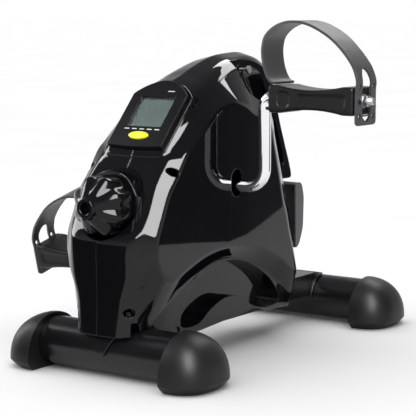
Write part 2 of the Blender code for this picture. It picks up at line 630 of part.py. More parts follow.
def flywheel_axle():
    centre = (FLYWHEEL_CENTRE.y, FLYWHEEL_CENTRE.z)
    add_object("flywheel_axle", cylinder_mesh("flywheel_axle", AXLE_RADIUS, -0.030, 0.038, centre, sides=32),
               STEEL, BASE)
    for name, side in (("axle_spacer_left", -1), ("axle_spacer_right", 1)):
        low, high = sorted((side * (FLYWHEEL_HALF_WIDTH + GAP), side * BAR_HALF_WIDTH))
        spacer = add_object(name, cylinder_mesh(name, 0.0085, low, high, centre, sides=28), STEEL, BASE)
        boolean(spacer, cylinder_mesh("bore", AXLE_RADIUS + GAP, low - 0.01, high + 0.01, centre, sides=28))


# ---------------------------------------------------------------- brake and tension knob
def tension_knob():
    """A fluted cone with a round nose; its rings run from the back to the nose."""
    rings = [(KNOB_BACK_Y, 0.0290, 0.02), (-0.0105, 0.0303, 0.04), (-0.0280, KNOB_RADIUS, 0.08),
             (-0.0325, 0.0290, 0.10), (-0.0400, 0.0205, 0.10), (-0.0455, 0.0120, 0.04),
             (-0.0465, 0.0098, 0.0), (KNOB_TIP_Y + 0.0008, 0.0095, 0.0), (KNOB_TIP_Y, 0.0086, 0.0)]
    sections = []
    for y, radius, flute in rings:
        ring = []
        for i in range(40):
            angle = 2 * math.pi * i / 40
            r = radius * (1.0 - flute * (1.0 + math.cos(KNOB_LOBES * angle)) / 2)
            ring.append((r * math.cos(angle), y, r * math.sin(angle)))
        sections.append(ring)
    knob = add_object("tension_knob", loft_mesh("tension_knob", sections), GLOSS_BLACK, KNOB)
    boolean(knob, cylinder_mesh("nose_hole", 0.0050, -0.06, -0.0400, axis="Y", sides=24))
    boolean(knob, cylinder_mesh("screw_seat", 0.0040 + GAP, -0.0320, 0.0, axis="Y", sides=24))
    add_object("tension_screw", cylinder_mesh("tension_screw", 0.0040, -0.0317, 0.024, axis="Y", sides=24),
               STEEL, KNOB)


def brake():
    """The arm that swings its magnets towards the flywheel's rim."""
    pin = (BRAKE_PIN.y, BRAKE_PIN.z)
    add_object("brake_pin", cylinder_mesh("brake_pin", 0.0020, -0.0345, 0.0255, pin, sides=16), STEEL, BASE)
    arm = add_object("brake_arm", outline_mesh("brake_arm", [(-0.006, -0.006), (-0.006, 0.006), (0.000, 0.008),
                     (0.046, 0.002), (0.046, -0.001), (0.006, -0.006)], -0.016, 0.016), STEEL, BRAKE)
    boolean(arm, cylinder_mesh("pin_hole", 0.0020 + GAP, -0.02, 0.02, sides=16))
    for name, y in (("brake_magnet_front", 0.018), ("brake_magnet_rear", 0.033)):
        add_object(name, box_mesh(name, (-0.010, y, -0.0110), (0.010, y + 0.010, -0.0063)), MAGNET, BRAKE)
    turns, points_per_turn = 3, 8
    coil = []
    for i in range(turns * points_per_turn + 1):
        angle = 2 * math.pi * i / points_per_turn
        coil.append((-0.0325 + 0.0022 * i / points_per_turn, 0.0048 * math.cos(angle),
                     0.0048 * math.sin(angle)))
    add_object("brake_spring", rod_mesh("brake_spring", coil, 0.0005, 2), STEEL, BASE, BRAKE_PIN)


def tension_cable():
    """The inner cable from the tension screw to the brake arm, over the crank's bearing tube."""
    route = smooth_open([(0, 0.0262, KNOB_Z), (-0.004, 0.045, 0.190), (-0.008, 0.080, 0.212),
                         (-0.008, 0.120, 0.2195), (-0.008, 0.160, 0.219), (-0.008, 0.188, 0.2175)], 3)
    add_object("tension_cable", rod_mesh("tension_cable", route, 0.0010, 2), STEEL, BASE)


# ---------------------------------------------------------------- console
def console_outline(shrink=0.0):
    """The face's outline: straight sides, a bowed top and a slightly bowed foot."""
    half, side = CONSOLE_HALF_WIDTH - shrink, CONSOLE_SIDE_LENGTH
    top, foot = CONSOLE_LENGTH - shrink, shrink
    points = []
    for i in range(17):
        across = 1.0 - 2.0 * i / 16
        points.append((half * across, side + (top - side) * math.cos(across * math.pi / 2) ** 0.8))
    for i in range(9):
        across = -1.0 + 2.0 * i / 8
        points.append((half * across, foot - 0.002 * (1.0 - across ** 2)))
    return points


def ellipse(centre, half_x, half_y, count=36):
    return [(centre[0] + half_x * math.cos(2 * math.pi * i / count),
             centre[1] + half_y * math.sin(2 * math.pi * i / count)) for i in range(count)]


def console():
    bezel = add_object("console_bezel", plan_mesh("console_bezel", console_outline(), -CONSOLE_THICKNESS, 0.0),
                       SATIN_BLACK, CONSOLE)
    boolean(bezel, plan_mesh("pocket", console_outline(0.0025), -0.03, -0.0030))
    boolean(bezel, box_mesh("window", (-LCD_HALF_WIDTH, LCD_LOW, -0.02), (LCD_HALF_WIDTH, LCD_HIGH, 0.01)))
    boolean(bezel, plan_mesh("button_hole", ellipse(BUTTON_CENTRE, 0.0127, 0.0051), -0.02, 0.01))
    add_object("console_window", box_mesh("console_window", (-LCD_HALF_WIDTH + GAP, LCD_LOW + GAP, -0.0024),
                                          (LCD_HALF_WIDTH - GAP, LCD_HIGH - GAP, -0.0012)), CLEAR, CONSOLE)
    add_object("lcd_panel", box_mesh("lcd_panel", (-0.0240, LCD_LOW - 0.002, -0.0062),
                                     (0.0240, LCD_HIGH + 0.002, -0.0036)), LCD_GREEN, CONSOLE)
    add_object("circuit_board", box_mesh("circuit_board", (-0.0290, 0.005, -0.0084), (0.0290, 0.066, -0.0068)),
               BOARD_GREEN, CONSOLE)
    add_object("battery", cylinder_mesh("battery", 0.0100, -0.0118, -0.0088, (0.0, 0.036), "Z", 32),
               STEEL, CONSOLE)
    add_object("console_back", plan_mesh("console_back", console_outline(0.0015), -CONSOLE_THICKNESS - 0.0012,
                                         -CONSOLE_THICKNESS - GAP), SATIN_BLACK, CONSOLE)
    add_object("mode_button", plan_mesh("mode_button", [(x, y) for x, y in ellipse((0, 0), 0.0123, 0.0047)],
                                        -0.0050, 0.0012), YELLOW, CONSOLE, (*BUTTON_CENTRE, 0.0))


# ---------------------------------------------------------------- pedals and straps
def pedal(name, side, parent):
    """A waisted block on the spindle; its own X runs along the spindle from the hub outwards."""
    low, high = sorted((side * PEDAL_INNER_X, side * PEDAL_OUTER_X))
    body = add_object(name, box_mesh(name, (low, -PEDAL_DEPTH / 2, -PEDAL_HEIGHT / 2),
                                     (high, PEDAL_DEPTH / 2, PEDAL_HEIGHT / 2), 0.003), PEDAL_BLACK, parent)
    half_chord, dip = 0.036, (PEDAL_HEIGHT - PEDAL_WAIST_HEIGHT) / 2
    sweep = (half_chord ** 2 + dip ** 2) / (2 * dip)
    middle = side * (PEDAL_INNER_X + PEDAL_OUTER_X) / 2
    for up in (1, -1):
        waist = cylinder_mesh("waist", sweep, -0.05, 0.05, (middle, up * (PEDAL_WAIST_HEIGHT / 2 + sweep)), "Y", 96)
        boolean(body, waist)
    boolean(body, cylinder_mesh("spindle_bore", CRANK_ROD_RADIUS + GAP, low - 0.01, high + 0.01, sides=32))


def strap_path():
    """The strap's centre line from its hooked outer end, over the foot, to its inner end."""
    points = [(0.2072, -0.0235), (0.2072, -0.0040), (0.2073, 0.0100), (0.2080, 0.0185), (0.2062, 0.0260),
              (0.2020, 0.0350), (0.1925, 0.0470), (0.1795, 0.0595), (0.1655, 0.0685), (0.1515, 0.0745),
              (0.1375, 0.0770), (0.1245, 0.0760), (0.1120, 0.0710), (0.1025, 0.0625), (0.0992, 0.0520),
              (0.0992, 0.0420), (0.1015, 0.0320), (0.1055, 0.0230), (0.1110, 0.0175), (0.1190, 0.0160)]
    return smooth_open(points, 2)


def strap(name, side, parent):
    bm = bmesh.new()
    rows = []
    for point in strap_path():
        rows.append([bm.verts.new((side * point.x, y, point.y)) for y in (-STRAP_WIDTH / 2, STRAP_WIDTH / 2)])
    for near, far in zip(rows, rows[1:]):
        bm.faces.new((near[0], near[1], far[1], far[0]))
    band = add_object(name, mesh_from(bm, name), STRAP_GREY, parent)
    solid = band.modifiers.new("thickness", "SOLIDIFY")
    solid.thickness = STRAP_THICKNESS
    solid.offset = 0.0
    low, high = sorted((side * 0.1950, side * 0.2205))
    boolean(band, box_mesh("end_opening", (low, -STRAP_OPENING_HALF_WIDTH, -0.0140),
                           (high, STRAP_OPENING_HALF_WIDTH, 0.0300)))
    for row in (-1, 1):
        for up in (-0.0145, 0.0, 0.0145):
            boolean(band, cylinder_mesh("hook_hole", 0.0024, low, high, (row * STRAP_HOLE_Y, up), sides=12))


def spindle_end(side, suffix, y_z):
    """The washer and nut that keep a pedal on its spindle."""
    for name, radius, low, high, sides in ((f"pedal_washer_{suffix}", 0.0090, 0.2088, 0.2102, 28),
                                           (f"pedal_nut_{suffix}", 0.0075, 0.2105, 0.2150, 6)):
        low, high = sorted((side * low, side * high))
        ring = add_object(name, cylinder_mesh(name, radius, low, high, y_z, sides=sides), STEEL, CRANK)
        boolean(ring, cylinder_mesh("bore", THREAD_RADIUS + GAP, low - 0.01, high + 0.01, y_z, sides=16))


# ---------------------------------------------------------------- assembly
BASE = add_empty("exerciser", location=(0, ORIGIN_Y, 0))
CRANK = add_empty("crank_axis", BASE, HUB)
FLYWHEEL = add_empty("flywheel_axis", BASE, FLYWHEEL_CENTRE)
KNOB = add_empty("knob_axis", BASE, (0, 0, KNOB_Z))
BRAKE = add_empty("brake_axis", BASE, BRAKE_PIN)
CONSOLE = add_empty("console_plane", BASE, CONSOLE_CORNER, CONSOLE_SLOPE)

for end, foot_y in (("front", 0.0), ("rear", WHEELBASE)):
    foot_tube(f"{end}_foot_tube", foot_y)
    for label, side in (("left", -1), ("right", 1)):
        foot_cap(f"{end}_cap_{label}", side, foot_y)
        foot_bolt(f"{end}_bolt_{label}", side, foot_y)
        foot_nut(f"{end}_nut_{label}", side, foot_y)
saddle("front_saddle", 0.0, math.radians(30), math.radians(105), math.radians(186), 0.15)
saddle("rear_saddle", WHEELBASE, math.radians(95), math.radians(178), math.radians(178), 1.0)
main_frame_bar()
crank_bracket()
crank_bearing("crank_bearing_left", BRACKET_X[0], BRACKET_X[0] + 0.010)
crank_bearing("crank_bearing_right", BRACKET_X[1] - 0.010, BRACKET_X[1])
for label, side in (("left", -1), ("right", 1)):
    flywheel_bracket(f"flywheel_bracket_{label}", side)
mirrored("housing_left", housing_right())
rear_cover()
knob_collar()
for number, (centre, reach) in enumerate(zip(SCREW_HOLES, (0.028, 0.022)), 1):
    housing_screw(f"housing_screw_{number}", 1, centre, reach)
crank_rod()
flat_pulley("drive_pulley", PULLEY_RADIUS, CRANK, CRANK_ROD_RADIUS + GAP, SATIN_BLACK)
flat_pulley("flywheel_pulley", SMALL_PULLEY_RADIUS, FLYWHEEL, AXLE_RADIUS + GAP, STEEL)
belt()
flywheel()
flywheel_axle()
tension_knob()
brake()
tension_cable()
console()
add_object("speed_sensor", box_mesh("speed_sensor", (-0.006, HUB.y + 0.0125, 0.146), (0.020, HUB.y + 0.0225, 0.156)),
           SATIN_BLACK, BASE)
for label, side, tilt in (("right", 1, 0.0), ("left", -1, LEFT_PEDAL_TILT)):
    axis = add_empty(f"pedal_axis_{label}", CRANK, (0, 0, side * CRANK_THROW), tilt)
    pedal(f"pedal_{label}", side, axis)
    strap(f"strap_{label}", side, axis)
    spindle_end(side, label, (0, side * CRANK_THROW))
bpy.context.view_layer.update()
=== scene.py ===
"""Looks of the pedal exerciser: finer pieces, materials, floor, light and camera.

Metres, +Z up. Shapes are drawn with Y measured from the front foot tube's axis, as in the CAD
source, and place() moves them by ORIGIN_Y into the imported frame's coordinates.
"""
import math

import bmesh
import bpy
from mathutils import Matrix, Vector


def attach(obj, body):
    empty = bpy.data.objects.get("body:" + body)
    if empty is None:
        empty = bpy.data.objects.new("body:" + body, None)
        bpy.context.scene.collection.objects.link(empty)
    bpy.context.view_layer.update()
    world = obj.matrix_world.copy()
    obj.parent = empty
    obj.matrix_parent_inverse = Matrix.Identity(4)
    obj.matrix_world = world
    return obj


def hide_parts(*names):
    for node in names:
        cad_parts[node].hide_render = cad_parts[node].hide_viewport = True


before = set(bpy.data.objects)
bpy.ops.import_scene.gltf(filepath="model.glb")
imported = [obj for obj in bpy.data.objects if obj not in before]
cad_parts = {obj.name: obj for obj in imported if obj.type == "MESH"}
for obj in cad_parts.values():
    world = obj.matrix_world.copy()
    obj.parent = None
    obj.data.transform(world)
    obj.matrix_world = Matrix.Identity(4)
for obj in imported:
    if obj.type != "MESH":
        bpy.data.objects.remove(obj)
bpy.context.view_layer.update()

# ---------------- dimensions, most of them shared with the CAD
ORIGIN_Y = -0.180
GAP = 0.0003
TUBE_RADIUS = 0.025
TUBE_WALL = 0.0016
TUBE_AXIS_Z = 0.027
TUBE_HALF_LENGTH = 0.0925
WHEELBASE = 0.367
SADDLE_RADIUS = 0.0283
SADDLE_HALF_WIDTH = 0.0245
CAP_INNER_X = 0.082
CAP_TIP_X = 0.124
CAP_HALF_WIDTH = 0.0425
CAP_TOP_Z = 0.0555
CAP_WAIST_Z = 0.0085
CAP_SQUARENESS = 2.7
BAR_HALF_WIDTH = 0.020
BAR_BOTTOM_Z = 0.030
BAR_TOP_Z = 0.056
HOUSING_WIDTH = 0.057
BASE_WIDTH = 0.041
WALL = 0.0025
HUB = Vector((0.0, 0.132, 0.184))
CRANK_THROW = 0.0925
CRANK_ROD_RADIUS = 0.0065
CRANK_ARM_X = 0.0905
CRANK_BEND_RADIUS = 0.020
SPINDLE_BEND_RADIUS = 0.010
SCREW_RADIUS = 0.0036
THREAD_PITCH = 0.0008
SPINDLE_END_X = 0.2165
PEDAL_INNER_X = 0.107
PEDAL_OUTER_X = 0.2045
PEDAL_DEPTH = 0.042
PEDAL_HEIGHT = 0.028
PEDAL_WAIST_HEIGHT = 0.020
LEFT_PEDAL_TILT = math.radians(14.0)
STRAP_WIDTH = 0.039
STRAP_THICKNESS = 0.0025
PEG_Y = 0.0134
KNOB_Z = 0.1745
KNOB_RADIUS = 0.0305
KNOB_BACK_Y = -0.0090
KNOB_TIP_Y = -0.0495
KNOB_LOBES = 8
FLUTE_SHARPNESS = 1.25
COLLAR_RADIUS = 0.0335
COLLAR_FRONT_Y = -0.0085
COLLAR_BACK_Y = 0.0235
COLLAR_BORE_RADIUS = 0.0045
CONSOLE_CORNER = Vector((0.0, 0.029, 0.231))
CONSOLE_SLOPE = math.radians(46.9)
CONSOLE_HALF_WIDTH = 0.034
CONSOLE_SIDE_LENGTH = 0.066
CONSOLE_LENGTH = 0.085
CONSOLE_THICKNESS = 0.0125
CONSOLE_FACE_THICKNESS = 0.0046
CONSOLE_WALL = 0.0025
LCD_HALF_WIDTH = 0.0215
LCD_LOW = 0.0240
LCD_HIGH = 0.0630
BUTTON_CENTRE = (0.0, 0.0120)
BUTTON_HALF_X = 0.0123
BUTTON_HALF_Y = 0.0047
BUTTON_GAP = 0.0004
DASH_HALF_HEIGHT = 0.0005
OUTSIDE_X = 0.080  # outside the housing, where the tools that cut its side begin


# ---------------- materials
def surface(name, dark, light, rough, grain, bump, metallic=0.0, edge=0.0,
            stretch=(1.0, 1.0, 1.0), specular=0.5, patch=9.0):
    """A procedural finish.

    A broad noise of scale patch moves the colour between dark and light, and the roughness between
    the two values of rough. A fine noise of scale grain is the relief, and bump is its strength.
    edge is the radius that sharp edges appear to have. stretch scales the noise along each axis.
    """
    material = bpy.data.materials.new(name)
    material.use_nodes = True
    tree = material.node_tree
    nodes = tree.nodes
    link = tree.links.new
    shader = nodes["Principled BSDF"]
    shader.inputs["Metallic"].default_value = metallic
    shader.inputs["Specular IOR Level"].default_value = specular
    coordinates = nodes.new("ShaderNodeTexCoord")
    mapping = nodes.new("ShaderNodeMapping")
    mapping.inputs["Scale"].default_value = stretch
    link(coordinates.outputs["Object"], mapping.inputs["Vector"])
    broad = nodes.new("ShaderNodeTexNoise")
    broad.inputs["Scale"].default_value = patch
    broad.inputs["Detail"].default_value = 4.0
    link(mapping.outputs["Vector"], broad.inputs["Vector"])
    colours = nodes.new("ShaderNodeValToRGB")
    colours.color_ramp.elements[0].position = 0.35
    colours.color_ramp.elements[1].position = 0.68
    colours.color_ramp.elements[0].color = (*dark, 1.0)
    colours.color_ramp.elements[1].color = (*light, 1.0)
    link(broad.outputs["Fac"], colours.inputs["Fac"])
    link(colours.outputs["Color"], shader.inputs["Base Color"])
    spread = nodes.new("ShaderNodeMapRange")
    spread.inputs["From Min"].default_value = 0.3
    spread.inputs["From Max"].default_value = 0.7
    spread.inputs["To Min"].default_value = rough[0]
    spread.inputs["To Max"].default_value = rough[1]
    link(broad.outputs["Fac"], spread.inputs["Value"])
    link(spread.outputs["Result"], shader.inputs["Roughness"])
    fine = nodes.new("ShaderNodeTexNoise")
    fine.inputs["Scale"].default_value = grain
    fine.inputs["Detail"].default_value = 3.0
    link(mapping.outputs["Vector"], fine.inputs["Vector"])
    relief = nodes.new("ShaderNodeBump")
    relief.inputs["Strength"].default_value = bump
    relief.inputs["Distance"].default_value = 0.001
    link(fine.outputs["Fac"], relief.inputs["Height"])
    link(relief.outputs["Normal"], shader.inputs["Normal"])
    if edge:
        soften = nodes.new("ShaderNodeBevel")
        soften.samples = 4
        soften.inputs["Radius"].default_value = edge
        link(soften.outputs["Normal"], relief.inputs["Normal"])
    return material


GLOSS = surface("gloss_shell", (0.0028, 0.0029, 0.0038), (0.0045, 0.0047, 0.0060), (0.012, 0.035),
    grain=260.0, bump=0.006, edge=0.0012, specular=0.32)
GLOSS_KNOB = surface("gloss_knob", (0.003, 0.003, 0.004), (0.005, 0.005, 0.006), (0.05, 0.11),
    grain=700.0, bump=0.01, specular=0.24)
BEZEL = surface("bezel_satin", (0.005, 0.005, 0.006), (0.008, 0.008, 0.009), (0.24, 0.32),
    grain=2600.0, bump=0.05, edge=0.0004, specular=0.22)
TUBE = surface("tube_paint", (0.005, 0.005, 0.006), (0.009, 0.009, 0.010), (0.17, 0.28),
    grain=1500.0, bump=0.10, edge=0.0006, specular=0.38)
RUBBER = surface("cap_rubber", (0.008, 0.008, 0.009), (0.014, 0.014, 0.015), (0.36, 0.48),
    grain=2200.0, bump=0.10, specular=0.24)
PEDAL = surface("pedal_plastic", (0.005, 0.005, 0.006), (0.009, 0.009, 0.010), (0.30, 0.42),
    grain=2400.0, bump=0.14, edge=0.0004, specular=0.24)
STRAP = surface("strap_rubber", (0.036, 0.036, 0.038), (0.062, 0.062, 0.065), (0.38, 0.50),
    grain=1800.0, bump=0.12, edge=0.0004)
COVER = surface("cover_plastic", (0.070, 0.070, 0.073), (0.095, 0.095, 0.099), (0.38, 0.48),
    grain=2400.0, bump=0.16, edge=0.0006)
CHROME = surface("chrome", (0.82, 0.82, 0.83), (0.90, 0.90, 0.91), (0.03, 0.08),
    metallic=1.0, grain=300.0, bump=0.004)
STEEL = surface("steel", (0.42, 0.42, 0.44), (0.62, 0.62, 0.63), (0.22, 0.40),
    metallic=1.0, grain=1600.0, bump=0.08, stretch=(0.2, 1.0, 1.0), edge=0.0003)
IRON = surface("cast_iron", (0.12, 0.12, 0.13), (0.26, 0.26, 0.27), (0.45, 0.65),
    metallic=1.0, grain=700.0, bump=0.35)
MAGNET = surface("magnet_plating", (0.50, 0.50, 0.51), (0.66, 0.66, 0.66), (0.16, 0.26),
    metallic=1.0, grain=900.0, bump=0.03, edge=0.0004)
BELT = surface("belt_rubber", (0.012, 0.012, 0.012), (0.024, 0.024, 0.024), (0.55, 0.70),
    grain=1500.0, bump=0.25)
PULLEY = surface("pulley_plastic", (0.020, 0.020, 0.021), (0.032, 0.032, 0.033), (0.34, 0.46),
    grain=1900.0, bump=0.12)
BOARD = surface("circuit_board", (0.012, 0.080, 0.030), (0.030, 0.150, 0.060), (0.35, 0.50),
    grain=500.0, bump=0.12, patch=90.0)
YELLOW = surface("button_yellow", (0.88, 0.86, 0.004), (0.97, 0.95, 0.010), (0.34, 0.42),
    grain=2600.0, bump=0.08)
PRINT = surface("white_print", (0.74, 0.74, 0.74), (0.86, 0.86, 0.86), (0.50, 0.60),
    grain=2600.0, bump=0.10)
LCD = surface("display_film", (0.036, 0.070, 0.062), (0.052, 0.094, 0.084), (0.30, 0.42),
    grain=1200.0, bump=0.02, patch=18.0, specular=0.25)
FLOOR = surface("floor_paper", (0.86, 0.86, 0.86), (0.90, 0.90, 0.90), (0.75, 0.90),
    grain=120.0, bump=0.04, patch=2.0, specular=0.2)


def clear_plastic():
    """The display's window: clear, with a faint haze that wanders."""
    material = surface("window_clear", (0.94, 0.96, 0.95), (1.0, 1.0, 1.0), (0.02, 0.06),
                       grain=900.0, bump=0.004)
    shader = material.node_tree.nodes["Principled BSDF"]
    shader.inputs["Transmission Weight"].default_value = 1.0
    shader.inputs["IOR"].default_value = 1.33
    return material


WINDOW = clear_plastic()


# ---------------- building helpers
def new_mesh(name, bm, sharp=35.0):
    """A mesh made from bm, shaded smooth except at edges sharper than sharp degrees."""
    bmesh.ops.recalc_face_normals(bm, faces=bm.faces)
    mesh = bpy.data.meshes.new(name)
    bm.to_mesh(mesh)
    bm.free()
    mesh.shade_smooth()
    mesh.set_sharp_from_angle(angle=math.radians(sharp))
    return mesh


def place(at=(0, 0, 0), turn_x=0.0):
    """Where a mesh drawn about its own origin goes in the frame's coordinates."""
    spot = Vector(at) + Vector((0, ORIGIN_Y, 0))
    return Matrix.Translation(spot) @ Matrix.Rotation(turn_x, 4, "X")


def add_piece(name, mesh, material, body, nodes, where=None, bevel=0.0, weighted=True):
    """Show a mesh as a piece that rides on a body and stands for the CAD nodes named, if any."""
    mesh.transform(place() if where is None else where)
    mesh.materials.clear()
    mesh.materials.append(material)
    piece = bpy.data.objects.new(name, mesh)
    bpy.context.scene.collection.objects.link(piece)
    if bevel:
        modifier = piece.modifiers.new("bevel", "BEVEL")
        modifier.width = bevel
        modifier.segments = 3
        modifier.limit_method = "ANGLE"
        modifier.angle_limit = math.radians(35.0)
    if weighted:
        normals = piece.modifiers.new("normals", "WEIGHTED_NORMAL")
        normals.keep_sharp = True
    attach(piece, body)
    if nodes:
        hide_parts(*nodes)


def loft(rings, wrap=False):
    """Join rings of equal point count into one skin.

    wrap joins the last ring to the first. Without it, a face closes each end.
    """
    bm = bmesh.new()
    rows = [[bm.verts.new(point) for point in ring] for ring in rings]
    count = len(rows[0])
    pairs = list(zip(rows, rows[1:]))
    if wrap:
        pairs.append((rows[-1], rows[0]))
    for near, far in pairs:
        for i in range(count):
            j = (i + 1) % count
            bm.faces.new((near[i], near[j], far[j], far[i]))
    if not wrap:
        bm.faces.new(rows[0])
        bm.faces.new(rows[-1])
    return bm


def lathe(name, profile, axis="Y", centre=(0, 0, 0), sides=128, wrap=True):
    """Turn a profile of (distance along the axis, radius) points about an axis through centre.

    wrap takes the profile as closed, for a ring. Without it, a face closes each end.
    """
    rings = []
    for along, radius in profile:
        ring = []
        for i in range(sides):
            a = radius * math.cos(2 * math.pi * i / sides)
            b = radius * math.sin(2 * math.pi * i / sides)
            offset = {"X": (along, a, b), "Y": (a, along, b), "Z": (a, b, along)}[axis]
            ring.append(Vector(centre) + Vector(offset))
        rings.append(ring)
    return new_mesh(name, loft(rings, wrap), 30.0)


def rounded_corners(profile, radius, steps=4):
    """Round every corner of a closed 2-D profile, with less than radius where a side is short."""
    result = []
    count = len(profile)
    for i, corner in enumerate(profile):
        corner = Vector(corner)
        before, after = Vector(profile[i - 1]), Vector(profile[(i + 1) % count])
        size = min(radius, (before - corner).length * 0.45, (after - corner).length * 0.45)
        start = corner + (before - corner).normalized() * size
        stop = corner + (after - corner).normalized() * size
        for step in range(steps + 1):
            t = step / steps
            result.append(start.lerp(corner, t).lerp(corner.lerp(stop, t), t))
    return result


def cylinder(radius, low, high, centre=(0, 0), axis="X", sides=64):
    """A cylinder along an axis from low to high; centre is its place on the other two axes."""
    bm = bmesh.new()
    bmesh.ops.create_cone(bm, cap_ends=True, segments=sides, radius1=radius, radius2=radius,
                          depth=high - low)
    turn = {"X": Matrix.Rotation(math.pi / 2, 4, "Y"),
            "Y": Matrix.Rotation(-math.pi / 2, 4, "X"),
            "Z": Matrix.Identity(4)}[axis]
    middle = (low + high) / 2
    spot = {"X": (middle, *centre),
            "Y": (centre[0], middle, centre[1]),
            "Z": (*centre, middle)}[axis]
    bmesh.ops.transform(bm, matrix=Matrix.Translation(spot) @ turn, verts=bm.verts)
    return new_mesh("cylinder", bm)


def box(low, high):
    """A box between two opposite corners."""
    bm = bmesh.new()
    bmesh.ops.create_cube(bm, size=1.0)
    low, high = Vector(low), Vector(high)
    matrix = Matrix.Translation((low + high) / 2) @ Matrix.Diagonal((*(high - low), 1.0))
    bmesh.ops.transform(bm, matrix=matrix, verts=bm.verts)
    return new_mesh("box", bm)


def drawn_out(outline, low, high, along="X"):
    """A flat outline drawn out along X, from (y, z) points, or along Z, from (x, y) points."""
    if along == "X":
        rings = [[(level, *point) for point in outline] for level in (low, high)]
    else:
        rings = [[(*point, level) for point in outline] for level in (low, high)]
    return new_mesh("drawn", loft(rings))


def rectangle(x_low, x_high, y_low, y_high):
    return [(x_low, y_low), (x_high, y_low), (x_high, y_high), (x_low, y_high)]


def ellipse(half_x, half_y, centre=(0.0, 0.0), count=72):
    return [(centre[0] + half_x * math.cos(2 * math.pi * i / count),
             centre[1] + half_y * math.sin(2 * math.pi * i / count)) for i in range(count)]


def half_circle(centre, radius, start, count=24):
    """Half a circle of points, from the angle start."""
    angles = [start + math.pi * i / (count - 1) for i in range(count)]
    return [(centre[0] + radius * math.cos(angle), centre[1] + radius * math.sin(angle))
            for angle in angles]


def joined(mesh, tool, operation="DIFFERENCE"):
    """The mesh with another one cut from it, joined to it or shared with it."""
    host, cutter = (bpy.data.objects.new(part.name, part) for part in (mesh, tool))
    for obj in (host, cutter):
        bpy.context.scene.collection.objects.link(obj)
    modifier = host.modifiers.new("boolean", "BOOLEAN")
    modifier.operation = operation
    modifier.object = cutter
    graph = bpy.context.evaluated_depsgraph_get()
    result = bpy.data.meshes.new_from_object(host.evaluated_get(graph))
    for obj in (host, cutter):
        bpy.data.objects.remove(obj, do_unlink=True)
    return result


def finished(mesh, sharp=30.0):
    """Shade a mesh smooth after its cuts, except at edges sharper than sharp degrees."""
    mesh.shade_smooth()
    mesh.set_sharp_from_angle(angle=math.radians(sharp))
    return mesh


def smooth(points, steps, closed=True):
    """A Catmull-Rom curve through the points, steps samples to each span."""
    count = len(points)
    result = []
    for i in range(count if closed else count - 1):
        if closed:
            a, b, c, d = (Vector(points[(i + k) % count]) for k in (-1, 0, 1, 2))
        else:
            a, b, c, d = (Vector(points[min(max(i + k, 0), count - 1)]) for k in (-1, 0, 1, 2))
        for step in range(steps):
            t = step / steps
            result.append(0.5 * ((2 * b) + (c - a) * t
                                 + (2 * a - 5 * b + 4 * c - d) * t ** 2
                                 + (3 * b - a - 3 * c + d) * t ** 3))
    if not closed:
        result.append(Vector(points[-1]))
    return result


def inset(outline, distance):
    """Move a clockwise outline's points inward by distance, square to its direction."""
    count = len(outline)
    result = []
    for i, point in enumerate(outline):
        along = (Vector(outline[(i + 1) % count]) - Vector(outline[i - 1])).normalized()
        result.append(Vector(point) + Vector((along.y, -along.x)) * distance)
    return result


def swept_rod(name, path, radius, sides=40):
    """A round rod along a path that lies in the plane of the X and Z axes."""
    rings = []
    side_axis = Vector((0, 1, 0))
    for i, point in enumerate(path):
        ahead = path[min(i + 1, len(path) - 1)] - path[max(i - 1, 0)]
        up_axis = side_axis.cross(ahead.normalized())
        ring = []
        for k in range(sides):
            angle = 2 * math.pi * k / sides
            ring.append(point + radius * (math.cos(angle) * side_axis + math.sin(angle) * up_axis))
        rings.append(ring)
    return new_mesh(name, loft(rings), 40.0)


